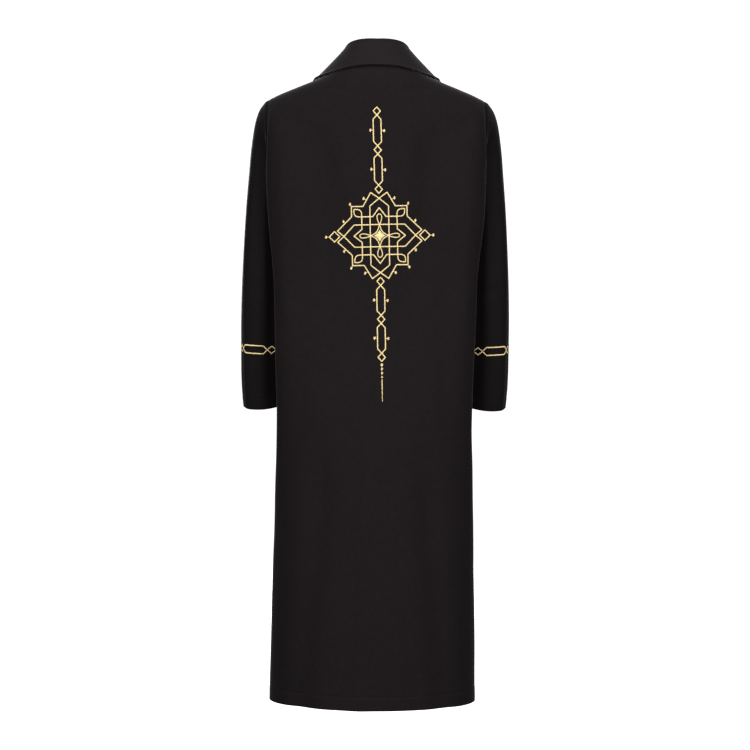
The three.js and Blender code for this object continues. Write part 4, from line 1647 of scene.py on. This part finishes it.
@dataclass(frozen=True)
class Strapwork:
    """The coat's line pattern: chains of diamonds and long hexagons, and an eight-pointed plait.

    Across is u and along is v, in millimetres; a motif has its middle at the origin.
    """

    line: float = 2.6
    diamond: Pair = (6.8, 7.7)  # half across, half along
    hexagon: Pair = (7.4, 8.0)  # half across, shoulder
    upper_length: float = 58.6
    lower_length: float = 56.3
    side_diamond: float = 85.4
    side_dot: float = 101.4
    dot: float = 5.2
    stem: float = 4.6
    hexagon_dot: float = 12.9
    stem_widths: Pair = (1.5, 1.3)
    side_growth: Pair = (1.46, 1.28)  # of the medallion's side diamonds
    # a quarter of the medallion, line by line
    quarter: tuple[tuple[Pair, ...], ...] = (
        # outer line, from its upper point to its side point
        ((15.5, 80.8), (30.5, 55.2), (52.4, 55.4), (52.4, 36.0), (79.6, 10.4)),
        # upright and level hexagons, which run on to the outer points
        ((17.6, 0), (17.6, 55.6), (0, 69.8), (-15.5, 80.8)),
        ((0, 20.8), (47.7, 20.8), (67.6, 0), (79.6, -10.4)),
        # square knot
        ((48.5, 0), (33.3, 12.2), (33.3, 35.7)),
        ((0, 52.3), (12.5, 35.7), (33.3, 35.7)),
    )
    corner_leaf: tuple[Pair, Pair] = ((33.3, 35.7), (47.9, 49.9))  # root and tip
    # the concave diamond round the middle: half across and half along, and its hollows
    heart: tuple[Pair, Pair] = ((17.0, 21.4), (3.0, 3.4))
    # across and along, and the direction of the stem
    outer_dots: tuple[Numbers, ...] = (
        (29.0, 70.1, -1.0, -0.55),
        (54.9, 59.9, -0.6, -0.8),
        (67.8, 27.9, -0.75, -0.66),
    )
    upright_petal: Triple = (21.6, 40.7, 5.6)  # start, end, half width
    level_petal: Triple = (17.2, 37.6, 4.9)
    petal_swell: Pair = (0.35, 0.75)  # at its start, and what it gains towards its end
    leaf_bend: float = 0.55
    # shares of the line's width
    heart_weight: float = 0.9
    leaf_weight: float = 0.95
    petal_weight: float = 0.85
    star_half: float = 10.6
    star_width: float = 20.0
    star_tip: float = 0.9
    star_taper: float = 1.2
    star_level: float = 0.9  # width of its level arms against the upright ones
    tail_pitch: float = 7.6
    tail_sizes: Numbers = (1.12, 1.0, 0.9, 0.78)
    tail_gap: float = 5.0
    # how far along each point of the tapering line is, and its width there
    tail_line: tuple[Pair, ...] = ((0.0, 2.3), (20.0, 1.9), (41.0, 1.1))

    def mirror(self, strokes: Iterable[Stroke], u: bool = True, v: bool = True) -> list[Stroke]:
        """Adds the mirror images of strokes.

        Args:
            strokes: the strokes.
            u: whether to mirror them from side to side.
            v: whether to mirror them from end to end.

        Returns:
            The strokes with their images.
        """
        out = list(strokes)
        for flip, sign in ((u, (-1.0, 1.0)), (v, (1.0, -1.0))):
            if flip:
                out += [Stroke(stroke.line * np.array(sign), stroke.width) for stroke in out]
        return out

    def turned(self, strokes: Iterable[Stroke], turn: float) -> list[Stroke]:
        """Returns strokes turned by an angle."""
        c, s = math.cos(turn), math.sin(turn)
        return [Stroke(part.line @ np.array([[c, s], [-s, c]]), part.width) for part in strokes]

    def dot_at(self, u: float, v: float, stem: Pair, size: float = 1.0) -> list[Stroke]:
        """Makes a dot with a short stem towards the line that it hangs on.

        Args:
            u: across, of its middle.
            v: along, of its middle.
            stem: the direction of the stem, or (0, 0) for none.
            size: the dot's size against the usual one.

        Returns:
            Its strokes.
        """
        r = self.dot * size / 2
        angle = np.linspace(-1, 1, 7)
        line = np.stack([u + 0 * angle, v + angle * r], -1)
        out = [Stroke(line, 2 * r * np.sqrt(np.maximum(0.1, 1 - angle**2)))]
        if any(stem):
            way = np.array(stem, float) / math.hypot(*stem)
            start = np.array([u, v]) + way * r * 0.6
            line = np.stack([start, start + way * self.stem * 0.8])
            out.append(Stroke(line, np.array(self.stem_widths)))
        return out

    def diamond_at(self, v: float) -> list[Stroke]:
        """Makes an open diamond of the chain.

        Args:
            v: along, of its middle.

        Returns:
            Its four sides.
        """
        a, b = self.diamond
        corners = ((0, v - b), (a, v), (0, v + b), (-a, v), (0, v - b))
        return [straight(corners[i : i + 2], self.line) for i in range(4)]

    def hexagon_at(self, v: float, length: float, dots: bool = True) -> list[Stroke]:
        """Makes a long hexagon of the chain.

        Args:
            v: along, of its start.
            length: its length.
            dots: whether a dot hangs on each side of it.

        Returns:
            Its strokes.
        """
        a, shoulder = self.hexagon
        side = ((0, v), (a, v + shoulder), (a, v + length - shoulder), (0, v + length))
        strokes = self.mirror([straight(side, self.line)], v=False)
        if dots:
            dot = self.dot_at(self.hexagon_dot, v + length / 2, (-1, 0))
            strokes += self.mirror(dot, v=False)
        return strokes

    def pitch(self, length: float) -> float:
        """Returns the repeat of a chain whose hexagons have a length."""
        return 2 * self.diamond[1] + length

    def chain(self, first: float, count: int, length: float) -> list[Stroke]:
        """Makes a chain of diamonds with a hexagon after each but the last.

        Args:
            first: where along the axis the first diamond's middle is.
            count: how many diamonds.
            length: the hexagons' length.

        Returns:
            Its strokes.
        """
        strokes: list[Stroke] = []
        for i in range(count):
            middle = first + i * self.pitch(length)
            strokes += self.diamond_at(middle)
            if i < count - 1:
                strokes += self.hexagon_at(middle + self.diamond[1], length)
        return strokes

    def medallion(self) -> list[Stroke]:
        """Makes the plaited medallion in the middle of the back.

        Returns:
            Its strokes.
        """
        quarter = [straight(corners, self.line) for corners in self.quarter]
        quarter.append(self.leaf(*(np.array(point) for point in self.corner_leaf)))
        t = np.linspace(0, 1, 9)
        (across, along), (hollow_u, hollow_v) = self.heart
        hollow = np.sin(np.pi * t)
        arc = np.stack([across * (1 - t) - hollow_u * hollow, along * t - hollow_v * hollow], -1)
        quarter.append(Stroke(arc, np.full(len(arc), self.line * self.heart_weight)))
        for u, v, *stem in self.outer_dots:
            quarter += self.dot_at(u, v, tuple(stem))
        strokes = self.mirror(quarter)
        strokes += self.mirror([self.petal(*self.upright_petal)], u=False)
        level = self.petal(*self.level_petal)
        strokes += self.mirror([Stroke(level.line[:, ::-1], level.width)], v=False)
        growth, place = np.array(self.side_growth), np.array([self.side_diamond, 0])
        wider = [Stroke(s.line * growth + place, s.width) for s in self.diamond_at(0.0)]
        strokes += self.mirror(wider + self.dot_at(self.side_dot, 0.0, (-1, 0)), v=False)
        return strokes + self.star()

    def leaf(self, root: Array, tip: Array) -> Stroke:
        """Makes the loop in a corner of the knot.

        Args:
            root: the point where it starts and ends.
            tip: its pointed tip.

        Returns:
            The loop.
        """
        angle = np.linspace(0, math.pi / 2, 15)
        fast, slow = np.sin(angle) ** self.leaf_bend, 1 - np.cos(angle) ** self.leaf_bend
        ways = [mix(root, tip, np.stack(pair, -1)) for pair in ((slow, fast), (fast, slow))]
        line = np.concatenate([ways[0], ways[1][-2::-1]])
        return Stroke(line, np.full(len(line), self.line * self.leaf_weight))

    def petal(self, start: float, end: float, half: float) -> Stroke:
        """Makes a drop-shaped loop along v.

        Args:
            start: where its narrow end is.
            end: where its round end is.
            half: half its width.

        Returns:
            The loop.
        """
        angle = np.linspace(0, 2 * math.pi, 25)
        along = (1 - np.cos(angle)) / 2
        wide = np.sin(angle) * half * (self.petal_swell[0] + self.petal_swell[1] * along)
        line = np.stack([wide, mix(start, end, along)], -1)
        return Stroke(line, np.full(len(line), self.line * self.petal_weight))

    def star(self) -> list[Stroke]:
        """Makes the solid four-pointed star in the middle.

        Returns:
            Its upright and its level arms.
        """
        t = np.linspace(-1, 1, 15)
        width = self.star_width * (1 - np.abs(t)) ** self.star_taper + self.star_tip
        upright = np.stack([0 * t, self.star_half * t], -1)
        return [Stroke(upright, width), Stroke(upright[:, ::-1], width * self.star_level)]

    def tail(self, first: float) -> list[Stroke]:
        """Makes the shrinking dots and the tapering line below the last diamond.

        Args:
            first: where along the axis the first dot is.

        Returns:
            Their strokes.
        """
        strokes: list[Stroke] = []
        for i, size in enumerate(self.tail_sizes):
            strokes += self.dot_at(0.0, first + i * self.tail_pitch, (0, 0), size)
        start = first + (len(self.tail_sizes) - 1) * self.tail_pitch + self.tail_gap
        line = np.array([(0, start + along) for along, _ in self.tail_line])
        return strokes + [Stroke(line, np.array([width for _, width in self.tail_line]))]


@dataclass(frozen=True)
class SatinStitch:
    """The Geometry Nodes tree that lays threads across the strokes."""

    pitch: float = 0.68
    thread: float = 0.92
    height: float = 0.62
    slant: float = 0.22
    unevenness: float = 0.12
    seed: int = 7
    tilt_play: float = 0.05  # of each thread's slant
    # how far the threads reach beyond the line: how much that varies, and its least
    spread: Pair = (0.6, 1.12)

    def tree(self) -> bpy.types.NodeTree:
        """Builds the tree with its named inputs.

        Returns:
            The new node group.
        """
        tree = bpy.data.node_groups.new("satin_stitch", "GeometryNodeTree")
        face = tree.interface
        sizes = ("Pitch", "Thread Width", "Thread Height", "Slant", "Unevenness")
        kinds = {"Geometry": "Geometry", **dict.fromkeys(sizes, "Float")}
        kinds.update({"Seed": "Int", "Thread": "Material"})
        for name, kind in kinds.items():
            face.new_socket(name, in_out="INPUT", socket_type=f"NodeSocket{kind}")
        face.new_socket("Geometry", in_out="OUTPUT", socket_type="NodeSocketGeometry")
        nodes = NodeTree(tree)
        group = nodes.add("NodeGroupInput", {}, {}).out.node
        given = {out.name: Socket(nodes, out) for out in group.outputs if out.name}
        lines = nodes.add("GeometryNodeMeshToCurve", {}, {"Mesh": given["Geometry"]})
        steps = {"Curve": lines, "Length": given["Pitch"]}
        spots = nodes.add("GeometryNodeResampleCurve", {"mode": "LENGTH"}, steps)
        tangent = nodes.add("GeometryNodeInputTangent", {}, {})
        upright = nodes.add(
            "FunctionNodeAlignRotationToVector",
            {"axis": "Z"},
            {"Vector": nodes.attribute("cloth_normal", "FLOAT_VECTOR")},
        )
        along = nodes.add(
            "FunctionNodeAlignRotationToVector",
            {"axis": "X", "pivot_axis": "Z"},
            {"Rotation": upright, "Vector": tangent},
        )
        play = nodes.random(-self.tilt_play, self.tilt_play, given["Seed"] + 1)
        tilt = nodes.add("ShaderNodeCombineXYZ", {}, {2: given["Slant"] + play})
        turned = nodes.add(
            "FunctionNodeRotateRotation",
            {"rotation_space": "LOCAL"},
            {"Rotation": along, "Rotate By": tilt},
        )
        ball = {"Radius": 0.5, "Subdivisions": 1}
        thread = nodes.add("GeometryNodeMeshIcoSphere", {}, ball, "Mesh")
        vary = given["Unevenness"] * nodes.random(-1.0, 1.0, given["Seed"] + 2) + 1.0
        ends = given["Unevenness"] * nodes.random(0.0, self.spread[0], given["Seed"] + 3)
        size = nodes.add(
            "ShaderNodeCombineXYZ",
            {},
            {
                0: given["Thread Width"],
                1: nodes.attribute("stitch_width", "FLOAT") * (ends + self.spread[1]),
                2: given["Thread Height"] * vary,
            },
        )
        laid = nodes.add(
            "GeometryNodeInstanceOnPoints",
            {},
            {"Points": spots, "Instance": thread, "Rotation": turned, "Scale": size},
        )
        real = nodes.add("GeometryNodeRealizeInstances", {}, {"Geometry": laid})
        soft = nodes.add("GeometryNodeSetShadeSmooth", {}, {"Geometry": real})
        finish = {"Geometry": soft, "Material": given["Thread"]}
        dressed = nodes.add("GeometryNodeSetMaterial", {}, finish)
        nodes.add("NodeGroupOutput", {}, {"Geometry": dressed})
        return tree

    def sew(self, name: str, paths: Sequence[Path], finish: Material) -> Object:
        """Lays threads along paths on the cloth.

        Args:
            name: the new piece's name.
            paths: for each, its points and the cloth's normals, in metres, and its widths.
            finish: the thread's material.

        Returns:
            The threads as one plain mesh.
        """
        points, normals, widths = (np.concatenate(part) for part in zip(*paths))
        edges, start = [], 0
        for path in paths:
            edges += [(start + i, start + i + 1) for i in range(len(path[0]) - 1)]
            start += len(path[0])
        mesh = bpy.data.meshes.new(f"{name}_lines")
        mesh.from_pydata(points.tolist(), edges, [])
        mesh.attributes.new("cloth_normal", "FLOAT_VECTOR", "POINT").data.foreach_set(
            "vector", normals.reshape(-1).astype(np.float32)
        )
        mesh.attributes.new("stitch_width", "FLOAT", "POINT").data.foreach_set(
            "value", widths.astype(np.float32)
        )
        lines = bpy.data.objects.new(f"{name}_lines", mesh)
        bpy.context.scene.collection.objects.link(lines)
        modifier = lines.modifiers.new("stitches", "NODES")
        tree = bpy.data.node_groups.get("satin_stitch") or self.tree()
        modifier.node_group = tree
        values = {
            "Pitch": self.pitch * METRES,
            "Thread Width": self.thread * METRES,
            "Thread Height": self.height * METRES,
            "Slant": self.slant,
            "Unevenness": self.unevenness,
            "Seed": self.seed,
            "Thread": finish,
        }
        for item in tree.interface.items_tree:
            if item.in_out == "INPUT" and item.name in values:
                modifier[item.identifier] = values[item.name]
        depsgraph = bpy.context.evaluated_depsgraph_get()
        made = bpy.data.meshes.new_from_object(lines.evaluated_get(depsgraph), depsgraph=depsgraph)
        lines.modifiers.remove(modifier)
        bpy.data.objects.remove(lines)
        made.name = name
        obj = bpy.data.objects.new(name, made)
        bpy.context.scene.collection.objects.link(obj)
        return obj


class CuffLine:
    """The level line round a sleeve that the cuff's chain follows."""

    stand_off = 30.0

    def __init__(self, loop: Array, rule: "Embroidery", side: float) -> None:
        """Measures the line.

        Args:
            loop: the nearest ring of points of the left sleeve.
            rule: the embroidery's sizes.
            side: 1 for the left sleeve and -1 for the right.
        """
        self.loop = np.concatenate([loop, loop[:1]])
        legs = np.linalg.norm(np.diff(self.loop, axis=0), axis=1)
        self.run = np.concatenate([[0], np.cumsum(legs)])
        self.middle = loop.mean(0)
        self.rule = rule
        self.sign = np.array([side, 1, 1])
        chain = rule.cuff_strapwork
        self.length = rule.cuff_repeats * chain.pitch(chain.upper_length)
        turn = rule.cuff_start / 360 * len(loop)
        self.start = np.interp(turn, np.arange(len(self.loop)), self.run)

    def ray(self, along: float, off: float) -> tuple[Vector, Vector]:
        """Says from where to look for the sleeve under a point of the chain.

        Args:
            along: the point's run round the sleeve.
            off: its height off the line.

        Returns:
            The start and direction of a ray, in metres.
        """
        at = (self.start - along / self.length * self.run[-1]) % self.run[-1]
        spot = np.array([np.interp(at, self.run, self.loop[:, i]) for i in range(3)])
        sideways = spot[0] - self.middle[0]
        spot[2] += self.rule.cuff_z - self.middle[2] + self.rule.cuff_tilt * sideways
        way = spot - self.middle
        way[2] = 0
        way = unit(way)
        origin = spot + way * self.stand_off + np.array([0, 0, off])
        return Vector(origin * self.sign * METRES), Vector(-way * self.sign)


@dataclass
class Embroidery:
    """The gold line work down the back and round both sleeves."""

    strapwork: Strapwork = Strapwork()
    cuff_strapwork: Strapwork = Strapwork(
        diamond=(7.0, 10.4), hexagon=(7.6, 8.0), upper_length=53.2
    )
    stitch: SatinStitch = SatinStitch()
    axis: tuple[Pair, ...] = ((-94.5, -0.3), (-329.2, -7.6), (-641.7, -14.8))
    centre_z: float = -330.2
    chain_starts: Pair = (-234.7, 86.0)
    tail_start: float = 243.8
    medallion_turn: float = -0.028
    step: float = 1.6
    proud: float = 0.18
    cuff_z: float = -541.0
    cuff_tilt: float = 0.045
    cuff_repeats: int = 4
    cuff_start: float = 117.4  # turn of a diamond, in degrees
    chain_diamonds: int = 3
    back_distance: float = 0.4  # metres, from where the back is looked at

    def fine(self, stroke: Stroke) -> Stroke:
        """Adds points to a stroke, close enough together to follow the cloth.

        Args:
            stroke: the stroke.

        Returns:
            The finer stroke.
        """
        legs = np.linalg.norm(np.diff(stroke.line, axis=0), axis=1)
        run = np.concatenate([[0], np.cumsum(legs)])
        at = np.unique(np.concatenate([run, np.arange(0, run[-1], self.step)]))
        line = np.stack([np.interp(at, run, stroke.line[:, i]) for i in (0, 1)], -1)
        return Stroke(line, np.interp(at, run, stroke.width))

    def back_strokes(self) -> list[Stroke]:
        """Lays out the back's pattern.

        Returns:
            The strokes in the garment's x and z.
        """
        rule = self.strapwork
        upper, lower = self.chain_starts
        strokes = rule.chain(upper, self.chain_diamonds, rule.upper_length)
        strokes += rule.chain(lower, self.chain_diamonds, rule.lower_length)
        strokes += rule.tail(self.tail_start)
        axis = Curve(*zip(*self.axis))
        out = []
        for fine in map(self.fine, strokes):
            u, v = fine.line.T
            z = self.centre_z - v
            lean = axis(z - 0.5) - axis(z + 0.5)
            out.append(Stroke(np.stack([axis(z) - u, z + u * lean], -1), fine.width))
        middle = float(axis(np.array(self.centre_z)))
        for fine in map(self.fine, rule.turned(rule.medallion(), self.medallion_turn)):
            u, v = fine.line.T
            out.append(Stroke(np.stack([middle - u, self.centre_z - v], -1), fine.width))
        return out

    def lay(self, strokes: Iterable[Stroke], ray: Ray, tree: BVHTree) -> list[Path]:
        """Lays strokes on a mesh.

        Args:
            strokes: the strokes.
            ray: gives the start and direction of the ray to a flat point, in metres.
            tree: the cloth.

        Returns:
            The paths for the stitches.
        """
        paths = []
        for stroke in strokes:
            points, normals, widths = [], [], []
            for (a, b), width in zip(stroke.line, stroke.width):
                place, normal, _, _ = tree.ray_cast(*ray(a, b))
                if place is not None:
                    points.append(np.array(place) + np.array(normal) * self.proud * METRES)
                    normals.append(np.array(normal))
                    widths.append(width * METRES)
            if len(points) > 1:
                paths.append((np.array(points), np.array(normals), np.array(widths)))
        return paths

    def cuff_strokes(self) -> list[Stroke]:
        """Lays out the chain round a cuff.

        Returns:
            The strokes, by the run round the sleeve and the height off the line.
        """
        rule = self.cuff_strapwork
        strokes: list[Stroke] = []
        for i in range(self.cuff_repeats):
            start = i * rule.pitch(rule.upper_length)
            strokes += rule.diamond_at(start)
            strokes += rule.hexagon_at(start + rule.diamond[1], rule.upper_length, dots=False)
        return [Stroke(fine.line[:, ::-1], fine.width) for fine in map(self.fine, strokes)]

    def down_ray(self, x: float, z: float) -> tuple[Vector, Vector]:
        """Returns the start and direction of a ray on to the back, in metres."""
        return Vector((x * METRES, self.back_distance, z * METRES)), Vector((0, -1, 0))

    def cuff_ray(self, panel: Panel, side: float) -> Ray:
        """Returns the rays to the chain on a sleeve, by the left sleeve's panel and the side."""
        row = int(np.abs(panel.grid[..., 2].mean(1) - self.cuff_z).argmin())
        return CuffLine(panel.grid[row], self, side).ray

    def dress(
        self,
        back: Object,
        sleeves: dict[str, Object],
        panels: dict[str, Panel],
        finish: Material,
    ) -> dict[str, Object]:
        """Sews the embroidery on the back and the sleeves.

        Args:
            back: the back's cloth.
            sleeves: the sleeves' cloth by node.
            panels: the sleeves' panels by node.
            finish: the gold thread.

        Returns:
            The new pieces by the node that they are sewn on.
        """
        sewn = [("back", "back_embroidery", back, self.back_strokes(), self.down_ray)]
        for node, cloth in sleeves.items():
            ray = self.cuff_ray(panels["sleeve_left"], SLEEVE_SIDES[node])
            sewn.append((node, f"{node}_embroidery", cloth, self.cuff_strokes(), ray))
        made = {}
        for node, name, cloth, strokes, ray in sewn:
            made[node] = self.stitch.sew(name, self.lay(strokes, ray, mesh_tree(cloth)), finish)
            finish_piece(made[node], None, finish)
        return made


def mesh_tree(obj: Object) -> BVHTree:
    """Returns a search tree of an object's faces."""
    faces = [tuple(face.vertices) for face in obj.data.polygons]
    return BVHTree.FromPolygons([vertex.co for vertex in obj.data.vertices], faces)


# ---- studio


@dataclass(frozen=True)
class Lamp:
    """A soft square light."""

    name: str
    place: Triple
    aim: Triple = (0.0, 0.0, -0.5)
    size: float = 1.6
    power: float = 112.0

    def build(self) -> None:
        """Adds the light to the scene."""
        data = bpy.data.lights.new(self.name, "AREA")
        data.shape, data.size, data.energy = "SQUARE", self.size, self.power
        lamp = bpy.data.objects.new(self.name, data)
        lamp.location = self.place
        way = Vector(self.aim) - Vector(self.place)
        lamp.rotation_euler = way.to_track_quat("-Z", "Y").to_euler()
        bpy.context.scene.collection.objects.link(lamp)


@dataclass(frozen=True)
class Studio:
    """The plain pale floor and backdrop, the soft lights and the camera."""

    floor_z: float = -1.42
    floor_rings: Numbers = (0.0, 2.0, 6.0)  # the radii of its flat part
    bend: float = 3.0  # the radius of the curve up into the backdrop
    top: float = 9.0
    steps: int = 20
    around: int = 96
    sky: float = 0.15
    lamps: tuple[Lamp, ...] = (
        Lamp("left_softbox", (1.9, 3.6, 0.3)),
        Lamp("right_softbox", (-1.9, 3.6, 0.3)),
        Lamp("front_softbox", (0.9, -3.8, 0.3)),
        Lamp("top_softbox", (0.0, 0.5, 2.4), (0.0, 0.0, 0.0), 2.2, 40.0),
    )
    camera_place: Triple = (-0.00058, 3.3, -0.5929)
    camera_roll: float = -0.41
    field_of_view: float = 25.0
    clip_end: float = 100.0

    def stage(self, finish: Material) -> None:
        """Makes a floor that curves up into a backdrop all round.

        Args:
            finish: its material.
        """
        profile = [(radius, 0.0) for radius in self.floor_rings]
        edge = self.floor_rings[-1]
        for i in range(1, self.steps + 1):
            angle = math.pi / 2 * i / self.steps
            profile.append((edge + self.bend * math.sin(angle), self.bend * (1 - math.cos(angle))))
        profile.append((edge + self.bend, self.top))
        turn = 2 * math.pi * np.arange(self.around) / self.around
        r, z = (np.array(column)[:, None] for column in zip(*profile))
        ring = (r * np.cos(turn), r * np.sin(turn), self.floor_z + z)
        points = np.stack(np.broadcast_arrays(*ring), -1).reshape(-1, 3)
        ids = np.arange(len(points)).reshape(len(profile), -1)
        after = np.roll(ids, -1, 1)
        faces = np.stack([ids[:-1], after[:-1], after[1:], ids[1:]], -1).reshape(-1, 4)
        floor = make_object("studio_floor", points, faces)
        floor.data.materials.append(finish)
        floor.visible_diffuse = floor.visible_glossy = False  # it throws no light on the cloth

    def build(self) -> None:
        """Sets up the floor, the lights and the camera."""
        self.stage(Paper().material())
        scene = bpy.context.scene
        world = bpy.data.worlds.new("studio")
        world.use_nodes = True
        nodes = NodeTree(world.node_tree)
        colour = {"Color": (1, 1, 1, 1), "Strength": self.sky}
        sky = nodes.add("ShaderNodeBackground", {}, colour)
        nodes.add("ShaderNodeOutputWorld", {}, {"Surface": sky})
        scene.world = world
        for lamp in self.lamps:
            lamp.build()
        scene.view_settings.view_transform = "Standard"
        data = bpy.data.cameras.new("camera")
        data.sensor_width, data.angle = 36.0, math.radians(self.field_of_view)
        data.clip_end = self.clip_end
        camera = bpy.data.objects.new("camera", data)
        camera.location = self.camera_place
        camera.rotation_euler = (math.radians(90), math.radians(self.camera_roll), math.pi)
        scene.collection.objects.link(camera)
        scene.camera = camera


# ---- coat


@dataclass
class Manteau:
    """The whole coat: its body, sleeves, collar and embroidery."""

    form: BodyForm = field(default_factory=BodyForm)
    crepe: Crepe = Crepe("black_crepe")
    # painted shade: the sleeves' cloth is darker, for the shade that falls on them beside the body
    shade_painted_sleeve_crepe: Crepe = Crepe("black_crepe_sleeves_painted_shade", painted_light_and_shade=0.74, sheen=0.22)
    # painted light: the collar's cloth is lighter, for the light that falls on its sloping fall
    light_painted_collar_crepe: Crepe = Crepe("black_crepe_collar_painted_light", painted_light_and_shade=1.22, sheen=0.32)
    gold: GoldThread = GoldThread("gold_thread")

    def build(self) -> None:
        """Builds and dresses each piece in order."""
        crepe, shade_painted_sleeve_crepe = self.crepe.material(), self.shade_painted_sleeve_crepe.material()
        light_painted_collar_crepe, gold = self.light_painted_collar_crepe.material(), self.gold.material()
        body = CoatBody(self.form)
        body.build()
        cloth = body.dress(crepe)
        sleeves = Sleeves(self.form)
        sleeves.build()
        arms = sleeves.dress(shade_painted_sleeve_crepe)
        collar = Collar(self.form)
        collar.build(body)
        neck = collar.dress(light_painted_collar_crepe)
        panels = {**body.panels, **sleeves.sides(), "collar": collar.panel}
        gilt = Embroidery().dress(cloth["back"], arms, panels, gold)
        for node, piece in {**cloth, **arms, "collar": neck}.items():
            width, length, area = panels[node].flat_size()
            trim = [gilt[node]] if node in gilt else []
            share = min(1.0, area / (width * length))
            share * width * length
            LOG.info("%s: cut %.3f by %.3f m, %.3f square metres", node, width, length, area)


def main() -> None:
    """Builds the coat and its studio."""
    logging.basicConfig(level=logging.INFO, format="%(message)s", stream=sys.stdout)
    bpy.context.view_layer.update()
    Manteau().build()
    Studio().build()


if __name__ == "__main__":
    main()
